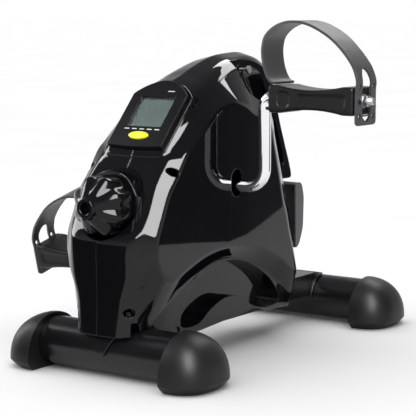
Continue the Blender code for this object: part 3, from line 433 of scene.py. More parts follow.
# ---------------- housing
# Ribs across the right half in millimetres, each with four points: the seam as (y, z), the corner
# and the shoulder as (x, y, z), and the edge of the flat side as (y, z).
HOUSING_RIBS = [
    ((-31, 30), (24, -29, 30), (35, -16, 42), (4, 106)),            # front, going up
    ((-31, 75), (27, -28.5, 75), (40, -15, 84), (-4, 114)),
    ((-31, 105), (32, -28, 105), (45, -19, 110), (-8, 124)),
    ((-31, 138), (36, -27, 138), (46, -16, 145), (-8, 141)),
    ((-17, 159), (37, -14, 160), (45, -7.7, 166), (1, 162)),
    ((-3, 180), (36, -1.5, 181), (43.5, 2, 187), (12, 185)),
    ((11, 199), (34, 11.5, 199.5), (42.5, 13, 201), (26, 201)),
    ((24, 216.5), (34, 25, 217), (41, 31, 221), (41, 222)),
    ((29.2, 225.4), (35, 29.5, 225.5), (41, 39, 229.5), (53, 231)),  # bed of the console
    ((62, 260.4), (35, 61, 259.3), (41, 62.9, 252.8), (69, 243)),
    ((85, 285), (35, 77, 276.5), (41, 80, 266.5), (82, 252)),
    ((96, 292), (31, 96, 287), (40, 94, 276.5), (99, 262)),          # top
    ((115, 299), (27, 112, 293.5), (38.5, 108, 284), (115, 268)),
    ((136, 307), (24, 134, 302), (36, 127, 293), (132, 270)),
    ((166, 316), (22, 163, 311), (31, 160, 302.5), (151, 265)),
    ((196, 319), (20, 193, 314), (31, 186, 303), (168, 256)),
    ((222, 319), (19, 221, 314), (33, 203, 290), (182, 252.5)),
    ((246, 312), (18, 243, 307), (40, 210, 270), (194, 250)),
    ((266, 297), (17, 262, 292), (48, 213, 248), (200, 238)),        # carry handle, going down
    ((284, 249), (17, 278, 247), (50, 215, 226), (205, 222)),
    ((298, 218), (17, 291, 216), (51, 221, 204), (211, 202)),
    ((309, 192), (17, 302, 191), (51, 229, 178), (219, 175)),
    ((310, 178), (20, 300, 177), (51, 236, 158), (225, 155)),
    ((272, 175), (30, 268, 171), (51, 242, 142), (231, 140)),        # rear
    ((274, 140), (38, 268, 138), (51, 247, 124), (236, 123)),
    ((275, 105), (38, 269, 104), (51, 254, 102), (245, 100)),
    ((275, 60), (38, 269, 60), (50, 260, 72), (252, 79)),
    ((273, 30), (38, 268, 30), (43, 262, 50), (248, 77)),            # bottom, going forward
    ((240, 30), (41, 240, 30), (43, 238, 64), (236, 82)),
    ((205, 30), (41, 205, 30), (43, 206, 83), (210, 98)),
    ((165, 30), (41, 165, 30), (43, 165, 100), (168, 114)),
    ((123, 30), (41, 123, 30), (43, 123, 106), (123, 121)),
    ((85, 30), (41, 85, 30), (43, 85, 99), (84, 119)),
    ((50, 30), (41, 50, 30), (43, 50, 85), (50, 110)),
    ((20, 30), (41, 20, 30), (43, 22, 70), (26, 101)),
    ((-8, 30), (36, 0, 30), (39, 1, 54), (14, 101)),
]
# Outlines cut from the shell in metres, as (y, z).
BASE_BOTTOM = [(-0.060, 0.046), (-0.012, 0.046), (0.026, 0.0335), (0.078, 0.0335),
               (0.186, 0.0425), (0.208, 0.039), (0.228, 0.031), (0.300, 0.031),
               (0.300, -0.010), (-0.060, -0.010)]
ARCH = [(0.052, 0.046), (0.058, 0.070), (0.083, 0.094), (0.123, 0.103), (0.165, 0.098),
        (0.205, 0.080), (0.228, 0.062), (0.238, 0.044), (0.214, 0.040), (0.186, 0.046),
        (0.168, 0.057), (0.148, 0.0625), (0.128, 0.0625), (0.105, 0.055), (0.082, 0.043)]
ARCH_DEPTH_X = 0.027
HANDLE_SLOT = [(0.198, 0.300), (0.214, 0.303), (0.229, 0.297), (0.241, 0.282), (0.255, 0.256),
               (0.270, 0.226), (0.281, 0.199), (0.277, 0.189), (0.268, 0.190), (0.256, 0.206),
               (0.240, 0.236), (0.222, 0.266), (0.204, 0.286)]
REAR_RELIEF = [(0.330, 0.345), (0.330, 0.1515), (0.2512, 0.1515), (0.235, 0.182), (0.224, 0.208),
               (0.218, 0.240), (0.212, 0.262), (0.190, 0.268), (0.169, 0.278), (0.168, 0.345)]
HANDLE_HALF_WIDTH = 0.021
CRANK_OPENING_RADIUS = 0.0105
SCREW_HOLES = [(0.026, 0.206), (0.188, 0.302), (0.046, 0.0425), (-0.0215, 0.0705)]
SCREW_HOLE_RADIUS = 0.0045
SEAM_GROOVE = 0.0004
CORNER_ROUND = 0.013
SHOULDER_ROUND = 0.0032
FLAT_EDGE_ROUND = 0.0035


def housing_loops(steps):
    """The four lengthwise curves of the shell in metres: seam, corner, shoulder and flat side."""
    loops = []
    for index in range(4):
        points = [rib[index] for rib in HOUSING_RIBS]
        if index == 0:
            points = [(GAP * 500, *point) for point in points]
        if index == 3:
            points = [(HOUSING_WIDTH * 1000, *point) for point in points]
        loops.append([point / 1000 for point in smooth(points, steps)])
    return loops


def outer_rings(steps=6):
    """Fine rings of the outside, with a groove at the seam and rounded corners across."""
    seam, corner, shoulder, flat = housing_loops(steps)
    groove = inset([Vector((p.y, p.z)) for p in seam], SEAM_GROOVE)
    inner = inset([Vector((p.y, p.z)) for p in flat], FLAT_EDGE_ROUND)
    ribs = []
    for i, (a, b, c, d) in enumerate(zip(seam, corner, shoulder, flat)):
        rib = [Vector((a.x, *groove[i])), Vector((a.x + SEAM_GROOVE, a.y, a.z))]
        last = Vector((d.x, *inner[i]))
        corners = ((a, b, c, CORNER_ROUND),
                   (b, c, d, SHOULDER_ROUND),
                   (c, d, last, FLAT_EDGE_ROUND))
        for before, middle, after, reach in corners:
            back = min(reach, 0.42 * (before - middle).length)
            ahead = (after - middle).length
            if after is not last:
                ahead = min(reach, 0.42 * ahead)
            start = middle + (before - middle).normalized() * back
            stop = middle + (after - middle).normalized() * ahead
            for step in range(6):
                t = step / 5
                rib.append(start.lerp(middle, t).lerp(middle.lerp(stop, t), t))
        ribs.append(rib)
    return list(zip(*ribs))


def inner_rings():
    """Coarse rings of the inside, a wall's thickness in from the outside."""
    loops = []
    for index, loop in enumerate(housing_loops(2)):
        flat = inset([Vector((p.y, p.z)) for p in loop], WALL)
        reach = [-0.010] * len(loop) if index == 0 else [p.x - WALL for p in loop]
        loops.append([Vector((x, *p)) for x, p in zip(reach, flat)])
    ribs = []
    for a, b, c, d in zip(*loops):
        ribs.append([a, b.lerp(a, 0.3), b.lerp(c, 0.3), c.lerp(b, 0.3), c.lerp(d, 0.3), d])
    return list(zip(*ribs))


def console_outline(shrink=0.0, steps=48):
    """The console's outline: straight sides, a bowed top and a slightly bowed foot."""
    half, side = CONSOLE_HALF_WIDTH - shrink, CONSOLE_SIDE_LENGTH
    top, foot = CONSOLE_LENGTH - shrink, shrink
    points = []
    for i in range(steps + 1):
        across = 1.0 - 2.0 * i / steps
        bow = max(0.0, math.cos(across * math.pi / 2)) ** 0.8
        points.append((half * across, side + (top - side) * bow))
    for i in range(steps // 2 + 1):
        across = -1.0 + 4.0 * i / steps
        points.append((half * across, foot - 0.002 * (1.0 - across ** 2)))
    return points


CONSOLE_PLANE = Matrix.Translation(CONSOLE_CORNER) @ Matrix.Rotation(CONSOLE_SLOPE, 4, "X")


def housing():
    """Both glossy halves: a lofted skin, hollowed, with its recesses and openings cut."""
    shell = new_mesh("housing", loft(outer_rings()))
    hollow = new_mesh("hollow", loft(inner_rings()))
    base = box((-0.010, -0.020, 0.010), (BASE_WIDTH - WALL, 0.262, 0.060))
    hollow = joined(hollow, base, "UNION")
    vault = smooth(ARCH, 8)
    slot = smooth(HANDLE_SLOT, 6)
    relief = rounded_corners(REAR_RELIEF, 0.006)
    recesses = ((vault, ARCH_DEPTH_X), (slot, -0.030), (relief, HANDLE_HALF_WIDTH))
    for outline, x_low in recesses:
        hollow = joined(hollow, drawn_out(inset(outline, -WALL), x_low - WALL, OUTSIDE_X + 0.002))
    shell = joined(shell, hollow)
    for outline, x_low in recesses:
        shell = joined(shell, drawn_out(outline, x_low, OUTSIDE_X))
    opening = half_circle((HUB.y - 0.001, HUB.z - 0.0015), CRANK_OPENING_RADIUS, math.pi)
    opening += half_circle((HUB.y - 0.001, HUB.z + 0.0065), CRANK_OPENING_RADIUS, 0.0)
    bar_gap = 0.0005
    seat = drawn_out(console_outline(-GAP), -CONSOLE_THICKNESS - 0.0030, 0.012, "Z")
    seat.transform(CONSOLE_PLANE)
    tools = [drawn_out(rounded_corners(BASE_BOTTOM, 0.006), -0.012, OUTSIDE_X),
             cylinder(TUBE_RADIUS + 0.0012, -0.01, OUTSIDE_X, (0, TUBE_AXIS_Z), sides=128),
             drawn_out(opening, 0.045, OUTSIDE_X),
             cylinder(COLLAR_RADIUS + GAP, -0.060, 0.0240, (0, KNOB_Z), "Y", 128),
             box((-0.0365, 0.2500, 0.0965), (0.0365, 0.320, 0.1675)),
             box((-BAR_HALF_WIDTH - bar_gap, 0.262, -0.010),
                 (BAR_HALF_WIDTH + bar_gap, 0.320, BAR_TOP_Z + bar_gap)),
             seat]
    tools += [cylinder(SCREW_HOLE_RADIUS, 0.020, OUTSIDE_X, centre, sides=48)
              for centre in SCREW_HOLES]
    for tool in tools:
        shell = joined(shell, tool)
    finished(shell)
    other = shell.copy()
    other.transform(Matrix.Diagonal((-1, 1, 1, 1)))
    other.flip_normals()
    add_piece("housing_shell_right", shell, GLOSS, "frame_body", ["housing_right"])
    add_piece("housing_shell_left", other, GLOSS, "frame_body", ["housing_left"])


def rear_cover():
    """The grey cover behind the housing, open towards it."""
    outline = [(0.276, 0.171), (0.289, 0.172), (0.2945, 0.155), (0.293, 0.119), (0.285, 0.101),
               (0.2775, 0.096)]
    inner = [(0.260, 0.1685), (0.287, 0.1690), (0.2915, 0.1545), (0.290, 0.120), (0.283, 0.1035),
             (0.260, 0.099)]
    cover = drawn_out(rounded_corners(outline, 0.006, 6), -0.040, 0.040)
    cover = joined(cover, drawn_out(inner, -0.0375, 0.0375))
    add_piece("rear_cover_panel", finished(cover), COVER, "frame_body", ["rear_cover"],
              bevel=0.0014)


# ---------------- knob
def knob_collar():
    """The round cup behind the knob, with a rounded rim."""
    front = COLLAR_FRONT_Y
    profile = [(COLLAR_BACK_Y, COLLAR_RADIUS), (front + 0.0015, COLLAR_RADIUS),
               (front + 0.0004, COLLAR_RADIUS - 0.0005), (front, COLLAR_RADIUS - 0.0018),
               (front, COLLAR_BORE_RADIUS), (front + WALL, COLLAR_BORE_RADIUS),
               (front + WALL, COLLAR_RADIUS - WALL), (COLLAR_BACK_Y, COLLAR_RADIUS - WALL)]
    ring = lathe("knob_collar_ring", profile, centre=(0, 0, KNOB_Z))
    add_piece("knob_collar_ring", ring, GLOSS, "frame_body", ["knob_collar"])


def knob():
    """A fluted cone with a round bored nose; the profile is (y, radius, depth of the flutes)."""
    profile = [(KNOB_BACK_Y, 0.0280, 0.03), (-0.0096, 0.0293, 0.05), (-0.0110, 0.0301, 0.08),
               (-0.0200, 0.0304, 0.11), (-0.0275, KNOB_RADIUS, 0.13), (-0.0300, 0.0302, 0.15),
               (-0.0322, 0.0290, 0.16), (-0.0355, 0.0258, 0.16), (-0.0392, 0.0214, 0.14),
               (-0.0425, 0.0168, 0.10), (-0.0445, 0.0134, 0.05), (-0.0455, 0.0113, 0.02)]
    curve = smooth(profile, 4, closed=False)
    nose = [(-0.0458, 0.0104), (-0.0470, 0.0101), (KNOB_TIP_Y + 0.0008, 0.0099),
            (KNOB_TIP_Y + 0.0002, 0.0094), (KNOB_TIP_Y, 0.0088), (KNOB_TIP_Y, 0.0070),
            (KNOB_TIP_Y + 0.0003, 0.0064), (KNOB_TIP_Y + 0.0012, 0.0060), (-0.0400, 0.0058)]
    curve += [Vector((y, radius, 0.0)) for y, radius in nose]
    sides = 192
    rings = []
    for y, radius, flute in curve:
        ring = []
        for i in range(sides):
            angle = 2 * math.pi * i / sides
            wave = (1.0 + math.cos(KNOB_LOBES * angle)) / 2
            r = radius * (1.0 - flute * wave ** FLUTE_SHARPNESS)
            ring.append((r * math.cos(angle), y, r * math.sin(angle)))
        rings.append(ring)
    cone = new_mesh("tension_knob_cone", loft(rings), 50.0)
    add_piece("tension_knob_cone", cone, GLOSS_KNOB, "knob_body", ["tension_knob"],
              place((0, 0, KNOB_Z)), weighted=False)


# ---------------- console
def display_outline(left, right, low, high, radius):
    """The display's opening, drawn in by a distance at each side, with round corners."""
    return rounded_corners(rectangle(-LCD_HALF_WIDTH + left, LCD_HALF_WIDTH - right,
                                     LCD_LOW + low, LCD_HIGH - high), radius)


def console():
    """The display's housing in its sloping plane: face, back, ledge, frame, button and dashes."""
    plane = place() @ CONSOLE_PLANE
    face = drawn_out(console_outline(), -CONSOLE_THICKNESS, 0.0, "Z")
    cuts = ((console_outline(CONSOLE_WALL), -0.03, -CONSOLE_FACE_THICKNESS),
            (display_outline(0.0, 0.0, 0.0, 0.0, 0.0012), -0.02, 0.01),
            (ellipse(BUTTON_HALF_X + BUTTON_GAP, BUTTON_HALF_Y + BUTTON_GAP, BUTTON_CENTRE),
             -0.02, 0.01))
    for outline, low, high in cuts:
        face = joined(face, drawn_out(outline, low, high, "Z"))
    add_piece("console_face", finished(face), BEZEL, "frame_body", ["console_bezel"],
              plane, bevel=0.0010)
    back = drawn_out(console_outline(0.0015), -CONSOLE_THICKNESS - 0.0012, -CONSOLE_THICKNESS - GAP,
                     "Z")
    add_piece("console_rear_plate", back, BEZEL, "frame_body", ["console_back"],
              plane, bevel=0.0002)
    ledge = drawn_out(console_outline(-0.0040), -0.0105, -0.0050, "Z")
    ledge = joined(ledge, drawn_out(console_outline(-0.0006), -0.02, 0.01, "Z"))
    add_piece("console_ledge", finished(ledge), GLOSS, "frame_body", (), plane,
              bevel=0.0010)
    mask = drawn_out(display_outline(GAP, GAP, GAP, GAP, 0.0010), -0.0035, -0.0026, "Z")
    view = drawn_out(display_outline(0.0012, 0.0010, 0.0011, 0.0012, 0.0006), -0.01, 0.0, "Z")
    add_piece("display_frame", finished(joined(mask, view)), BEZEL, "frame_body", (),
              plane)
    dome = [(-0.0050, 1.0), (0.0002, 1.0), (0.0007, 0.985), (0.0010, 0.95), (0.0012, 0.86),
            (0.00125, 0.6), (0.0013, 0.25)]
    rings = []
    for height, spread in dome:
        rings.append([(x * spread, y * spread, height)
                      for x, y in ellipse(BUTTON_HALF_X, BUTTON_HALF_Y)])
    add_piece("mode_button_dome", new_mesh("mode_button_dome", loft(rings)), YELLOW, "button_body",
              ["mode_button"], plane @ Matrix.Translation((*BUTTON_CENTRE, 0.0)),
              weighted=False)
    marks = [(-0.0190 + 0.0095 * i, 0.0203, 0.0030) for i in range(5)] + [(0.0125, 0.0705, 0.0042)]
    for number, (x, y, half) in enumerate(marks, 1):
        dash = rounded_corners(rectangle(x - half, x + half, y - DASH_HALF_HEIGHT,
                                         y + DASH_HALF_HEIGHT), 0.0004)
        add_piece(f"printed_dash_{number}", drawn_out(dash, 0.0, 0.00008, "Z"), PRINT, "frame_body",
                  (), plane)


# ---------------- feet and frame
def foot(end, y):
    """A foot tube with its two rubber caps."""
    half = TUBE_HALF_LENGTH
    profile = [(-half, TUBE_RADIUS), (half, TUBE_RADIUS), (half, TUBE_RADIUS - TUBE_WALL),
               (-half, TUBE_RADIUS - TUBE_WALL)]
    profile = rounded_corners(profile, 0.0005, 2)
    tube = lathe("tube", profile, "X", (0, 0, TUBE_AXIS_Z), 160)
    add_piece(f"{end}_tube", tube, TUBE, "frame_body", [f"{end}_foot_tube"],
              place((0, y, 0)))
    for label, side in (("left", -1), ("right", 1)):
        add_piece(f"{end}_{label}_cap", cap_mesh(side), RUBBER, "frame_body",
                  [f"{end}_cap_{label}"], place((0, y, 0)), bevel=0.0012)


def cap_mesh(side):
    """A rubber dome with a flat sole and a round socket for the tube."""
    bm = bmesh.new()
    bmesh.ops.create_uvsphere(bm, u_segments=128, v_segments=64, radius=1.0)
    power = 2.0 / CAP_SQUARENESS
    for vert in bm.verts:
        x, y, z = vert.co
        flat = math.hypot(x, y)
        if flat > 1e-6:
            x, y = (math.copysign(abs(c / flat) ** power, c) * flat for c in (x, y))
        vert.co.x = CAP_INNER_X + (CAP_TIP_X - CAP_INNER_X) * x
        vert.co.y = CAP_HALF_WIDTH * y
        if z > 0:
            vert.co.z = CAP_WAIST_Z + (CAP_TOP_Z - CAP_WAIST_Z) * z ** 0.85
        else:
            vert.co.z = CAP_WAIST_Z * (1.0 - min(1.0, -z / 0.6) ** 1.8)
    bmesh.ops.bisect_plane(bm, geom=bm.verts[:] + bm.edges[:] + bm.faces[:],
                           plane_co=(CAP_INNER_X, 0, 0), plane_no=(1, 0, 0), clear_inner=True)
    bmesh.ops.remove_doubles(bm, verts=bm.verts, dist=0.00005)
    bmesh.ops.edgeloop_fill(bm, edges=[edge for edge in bm.edges if edge.is_boundary])
    bmesh.ops.transform(bm, matrix=Matrix.Diagonal((side, 1, 1, 1)), verts=bm.verts)
    reach = sorted((side * (CAP_INNER_X - 0.01), side * (TUBE_HALF_LENGTH + GAP)))
    socket = cylinder(TUBE_RADIUS + GAP, *reach, (0, TUBE_AXIS_Z), sides=128)
    return finished(joined(new_mesh("cap", bm), socket))


def saddle(name, y, start, full, stop, tip):
    """A curved plate round the tube.

    Angles run from +Y over the top to -Y, and past full the plate narrows to the share tip.
    """
    rings = []
    steps = 48
    for step in range(steps + 1):
        angle = start + (stop - start) * step / steps
        narrowing = max(0.0, (angle - full) / (stop - full)) if stop > full else 0.0
        half = SADDLE_HALF_WIDTH * (1.0 - (1.0 - tip) * narrowing)
        near, far = ((r * math.cos(angle), r * math.sin(angle))
                     for r in (TUBE_RADIUS + GAP, SADDLE_RADIUS))
        rings.append([(-half, *near), (half, *near), (half, *far), (-half, *far)])
    add_piece(f"{name}_plate", new_mesh(name, loft(rings)), TUBE, "frame_body", [name],
              place((0, y, TUBE_AXIS_Z)), bevel=0.0008)


def main_bar():
    """The rectangular tube between the two saddles."""
    wall = 0.002
    bar = box((-BAR_HALF_WIDTH, 0.012, BAR_BOTTOM_Z),
              (BAR_HALF_WIDTH, WHEELBASE - 0.012, BAR_TOP_Z))
    for y in (0.0, WHEELBASE):
        bar = joined(bar, cylinder(SADDLE_RADIUS + GAP, -0.03, 0.03, (y, TUBE_AXIS_Z), sides=96))
    bar = joined(bar, box((-BAR_HALF_WIDTH + wall, -0.02, BAR_BOTTOM_Z + wall),
                          (BAR_HALF_WIDTH - wall, WHEELBASE + 0.02, BAR_TOP_Z - wall)))
    add_piece("main_bar", finished(bar), TUBE, "frame_body", ["main_frame_bar"],
              bevel=0.0006)


# ---------------- crank, pedals and straps
def half_rod(side):
    """The middle line of half the crank: out from the hub, along the arm, and out again."""
    points = [Vector((0, 0, 0))]
    angles = [math.pi / 2 * i / 16 for i in range(17)]
    for angle in angles:
        points.append(Vector((CRANK_ARM_X - CRANK_BEND_RADIUS * (1 - math.sin(angle)), 0,
                              CRANK_BEND_RADIUS * (1 - math.cos(angle)))))
    for angle in angles:
        points.append(Vector((CRANK_ARM_X + SPINDLE_BEND_RADIUS * (1 - math.cos(angle)), 0,
                              CRANK_THROW - SPINDLE_BEND_RADIUS * (1 - math.sin(angle)))))
    points.append(Vector((PEDAL_OUTER_X + GAP, 0, CRANK_THROW)))
    return [point * side for point in points]


def crank():
    """The bent chromed rod, with turned threads at its ends."""
    rod = swept_rod("crank_rod", half_rod(-1)[:0:-1] + half_rod(1), CRANK_ROD_RADIUS)
    profile = []
    x = PEDAL_OUTER_X - 0.001
    while x < SPINDLE_END_X - THREAD_PITCH:
        profile += [(x, SCREW_RADIUS - 0.0003), (x + THREAD_PITCH / 2, SCREW_RADIUS)]
        x += THREAD_PITCH
    profile.append((SPINDLE_END_X, SCREW_RADIUS - 0.0008))
    for label, side in (("right", 1), ("left", -1)):
        thread = lathe("thread", [(side * a, r) for a, r in profile], "X",
                       (0, 0, side * CRANK_THROW), 40, wrap=False)
        add_piece(f"spindle_thread_{label}", thread, STEEL, "crank", (), place(HUB),
                  weighted=False)
    add_piece("crank_chrome", finished(rod, 40.0), CHROME, "crank", ["crank_rod"],
              place(HUB), weighted=False)


def rounded_section(half_y, half_z, radius, count_y, count_z, count_arc):
    """Points round a rectangle with round corners, evenly spaced on its sides."""
    points = []
    corners = [(1, 1, 0.0), (-1, 1, 0.5 * math.pi), (-1, -1, math.pi), (1, -1, 1.5 * math.pi)]
    for index, (sy, sz, start) in enumerate(corners):
        cy, cz = sy * (half_y - radius), sz * (half_z - radius)
        for i in range(count_arc + 1):
            angle = start + math.pi / 2 * i / count_arc
            points.append((cy + radius * math.cos(angle), cz + radius * math.sin(angle)))
        ny, nz = points[-1]
        sy2, sz2, start2 = corners[(index + 1) % 4]
        ty = sy2 * (half_y - radius) + radius * math.cos(start2)
        tz = sz2 * (half_z - radius) + radius * math.sin(start2)
        count = count_y if index % 2 == 0 else count_z
        points += [(ny + (ty - ny) * i / count, nz + (tz - nz) * i / count)
                   for i in range(1, count)]
    return points


def pocket(x, z, x_low, x_high, half_z, soft):
    """How deep in a round-cornered pocket a point lies, from 0 outside to 1 inside."""
    middle, half_x = (x_low + x_high) / 2, (x_high - x_low) / 2
    radius = min(half_x, half_z) * 0.7
    dx = max(abs(x - middle) - half_x + radius, 0.0)
    dz = max(abs(z) - half_z + radius, 0.0)
    depth = radius - math.hypot(dx, dz)
    t = min(max(depth / soft, 0.0), 1.0)
    return t * t * (3 - 2 * t)


def pedal(label, side, where):
    """A waisted block with a short and a long shallow pocket on its front and back faces."""
    length = PEDAL_OUTER_X - PEDAL_INNER_X
    rings = []
    end_round = 0.0025
    waist_reach = 0.036
    stations = [end_round * (1 - math.cos(math.pi / 2 * i / 5)) for i in range(5)]
    stations += [end_round + (length - 2 * end_round) * i / 130 for i in range(131)]
    stations += [length - s for s in stations[4::-1]]
    for s in stations:
        nearest = min(s, length - s)
        pull = 0.0
        if nearest < end_round:
            pull = end_round - math.sqrt(max(0.0, end_round ** 2 - (end_round - nearest) ** 2))
        t = (s - length / 2) / waist_reach
        waist = max(0.0, 1.0 - t * t) if abs(t) < 1 else 0.0
        half_z = (PEDAL_HEIGHT - (PEDAL_HEIGHT - PEDAL_WAIST_HEIGHT) * waist) / 2 - pull
        ring = []
        for y, z in rounded_section(PEDAL_DEPTH / 2 - pull, half_z, 0.0035, 26, 22, 6):
            if abs(y) > PEDAL_DEPTH / 2 - 0.004:
                dip = 0.0013 * pocket(s, z, 0.0095, 0.0255, 0.0088, 0.0022)
                dip += 0.0010 * pocket(s, z, 0.0320, 0.0910, 0.0078, 0.0050)
                y -= math.copysign(dip, y)
            ring.append((side * (PEDAL_INNER_X + s), y, z))
        rings.append(ring)
    body = new_mesh("pedal", loft(rings))
    reach = sorted((side * (PEDAL_INNER_X - 0.01), side * (PEDAL_OUTER_X + 0.01)))
    body = joined(body, cylinder(CRANK_ROD_RADIUS + GAP, *reach, sides=64))
    low, high = PEDAL_OUTER_X - 0.003, PEDAL_OUTER_X + 0.0048
    profile = [(low, 0.0021), (high - 0.0015, 0.0021), (high - 0.0012, 0.0028),
               (high - 0.0005, 0.0026), (high, 0.0016)]
    for y in (-PEG_Y, PEG_Y):
        peg = lathe("peg", [(side * a, r) for a, r in profile], "X", (0, y, 0), 32, wrap=False)
        body = joined(body, peg, "UNION")
    add_piece(f"pedal_block_{label}", finished(body, 35.0), PEDAL, f"pedal_{label}_body",
              [f"pedal_{label}"], where)


# The strap's middle line as (x, z) from the spindle's axis, and the openings of its end plate cut
# in the flat strap, as (distance along the strap, y).
STRAP_PATH = [(0.2072, -0.0235), (0.2072, -0.0040), (0.2073, 0.0100), (0.2080, 0.0185),
              (0.2062, 0.0260), (0.2020, 0.0350), (0.1925, 0.0470), (0.1795, 0.0595),
              (0.1655, 0.0685), (0.1515, 0.0745), (0.1375, 0.0770), (0.1245, 0.0760),
              (0.1120, 0.0710), (0.1025, 0.0625), (0.0992, 0.0520), (0.0992, 0.0420),
              (0.1010, 0.0320), (0.1042, 0.0235), (0.1085, 0.0175), (0.1135, 0.0157)]
STRAP_OPENING = [(0.0098, 0.0086), (0.0420, 0.0090), (0.0475, 0.0084), (0.0525, 0.0062),
                 (0.0560, 0.0028), (0.0560, -0.0028), (0.0525, -0.0062), (0.0475, -0.0084),
                 (0.0420, -0.0090), (0.0098, -0.0086)]
STRAP_NOTCH = [(0.0024, 0.0), (0.0086, 0.0086), (0.0086, -0.0086)]
STRAP_END_ROUND = 0.0045


def strap(label, side, where):
    """A moulded strap, cut flat with its openings and then bent along its path."""
    path = smooth(STRAP_PATH, 10, closed=False)
    reach = [0.0]
    for a, b in zip(path, path[1:]):
        reach.append(reach[-1] + (b - a).length)
    total = reach[-1]
    half, thick = STRAP_WIDTH / 2, STRAP_THICKNESS / 2
    columns, rows = 260, 12
    bm = bmesh.new()
    grid = {}
    for i in range(columns + 1):
        s = total * i / columns
        width = half * min(1.0, 0.80 + 0.20 * min(1.0, s / 0.006) ** 0.5)
        if s < STRAP_END_ROUND:
            drop = STRAP_END_ROUND - s
            width = half - STRAP_END_ROUND + math.sqrt(max(0.0, STRAP_END_ROUND ** 2 - drop ** 2))
        narrow = 1.0 - 0.10 * math.exp(-((s - 0.075) / 0.030) ** 2)
        for j in range(rows + 1):
            across = -1.0 + 2.0 * j / rows
            for level in (-thick, thick):
                round_edge = 0.0004 if abs(across) == 1.0 and level > 0 else 0.0
                grid[i, j, level] = bm.verts.new((s, across * (width * narrow - round_edge), level))
    for i in range(columns):
        for j in range(rows):
            for level in (-thick, thick):
                bm.faces.new((grid[i, j, level], grid[i + 1, j, level],
                              grid[i + 1, j + 1, level], grid[i, j + 1, level]))
        for j in (0, rows):
            bm.faces.new((grid[i, j, -thick], grid[i + 1, j, -thick],
                          grid[i + 1, j, thick], grid[i, j, thick]))
    for i in (0, columns):
        for j in range(rows):
            bm.faces.new((grid[i, j, -thick], grid[i, j + 1, -thick],
                          grid[i, j + 1, thick], grid[i, j, thick]))
    mesh = new_mesh("strap", bm)
    low_z = STRAP_PATH[0][1]
    opening = rounded_corners(STRAP_OPENING, 0.0030, 5)
    notch = rounded_corners(STRAP_NOTCH, 0.0012, 4)
    mesh = joined(mesh, drawn_out(opening, -0.01, 0.01, "Z"))
    mesh = joined(mesh, drawn_out(notch, -0.01, 0.01, "Z"))
    for y in (-PEG_Y, PEG_Y):
        for z, radius in ((-0.0145, 0.0026), (0.0, 0.0030), (0.0145, 0.0026)):
            mesh = joined(mesh, cylinder(radius, -0.01, 0.01, (z - low_z, y), "Z", 32))
    bm = bmesh.new()
    bm.from_mesh(mesh)
    bmesh.ops.triangulate(bm, faces=[face for face in bm.faces if len(face.verts) > 4])
    for vert in bm.verts:
        s = min(max(vert.co.x, 0.0), total)
        index = max(k for k in range(len(reach) - 1) if reach[k] <= s)
        t = (s - reach[index]) / (reach[index + 1] - reach[index])
        point = path[index].lerp(path[index + 1], t)
        ahead = (path[min(index + 2, len(path) - 1)] - path[max(index - 1, 0)]).normalized()
        out = Vector((ahead.y, -ahead.x))
        point = point + out * vert.co.z
        vert.co = (side * point.x, vert.co.y, point.y)
    add_piece(f"strap_band_{label}", new_mesh("strap", bm, 35.0), STRAP, f"pedal_{label}_body",
              [f"strap_{label}"], where)


def spindle_end(label, side):
    """The nut and washer that hold the pedal, in the opening of the strap's end plate."""
    centre = (0, 0, side * CRANK_THROW)
    bore = SCREW_RADIUS + GAP
    profile = rounded_corners([(0.2049, 0.0070), (0.2061, 0.0070), (0.2061, bore), (0.2049, bore)],
                              0.0003, 2)
    washer = lathe("washer", [(side * a, r) for a, r in profile], "X", centre, 64)
    add_piece(f"spindle_washer_{label}", washer, STEEL, "crank", [f"pedal_washer_{label}"],
              place(HUB))
    hexagon = [(y, z + centre[2]) for y, z in ellipse(0.0060, 0.0060, count=6)]
    nut = drawn_out(hexagon, *sorted((side * 0.2064, side * 0.2112)))
    profile = [(0.2044, 0.0063), (0.2102, 0.0063), (0.2116, 0.0048), (0.2116, 0.00001),
               (0.2044, 0.00001)]
    cone = lathe("cone", [(side * a, r) for a, r in profile], "X", centre, 64, wrap=False)
    nut = joined(nut, cone, "INTERSECT")
    reach = sorted((side * 0.20, side * 0.22))
    nut = joined(nut, cylinder(bore, *reach, (0, centre[2]), sides=40))
    add_piece(f"spindle_nut_{label}", finished(nut), STEEL, "crank", [f"pedal_nut_{label}"],
              place(HUB), bevel=0.0002)


# ---------------- assembly
housing()
rear_cover()
knob_collar()
knob()
console()
foot("front", 0.0)
foot("rear", WHEELBASE)
saddle("front_saddle", 0.0, math.radians(30), math.radians(105), math.radians(186), 0.15)
saddle("rear_saddle", WHEELBASE, math.radians(95), math.radians(178), math.radians(178), 1.0)
main_bar()
crank()
for label, side, tilt in (("right", 1, 0.0), ("left", -1, LEFT_PEDAL_TILT)):
    axis = place(HUB + Vector((0, 0, side * CRANK_THROW)), tilt)
    pedal(label, side, axis.copy())
    strap(label, side, axis.copy())
    spindle_end(label, side)

NODE_FINISH = {
    "console_window": WINDOW, "lcd_panel": LCD, "circuit_board": BOARD, "drive_belt": BELT,
    "drive_pulley": PULLEY, "speed_sensor": PULLEY, "flywheel": IRON, "brake_magnet_front": MAGNET,
    "brake_magnet_rear": MAGNET, "crank_bracket": TUBE, "flywheel_bracket_left": TUBE,
    "flywheel_bracket_right": TUBE,
}
for name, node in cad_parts.items():
    finish = NODE_FINISH.get(name, STEEL)
    for material_slot in node.material_slots:
        material_slot.link = "OBJECT"
        material_slot.material = finish


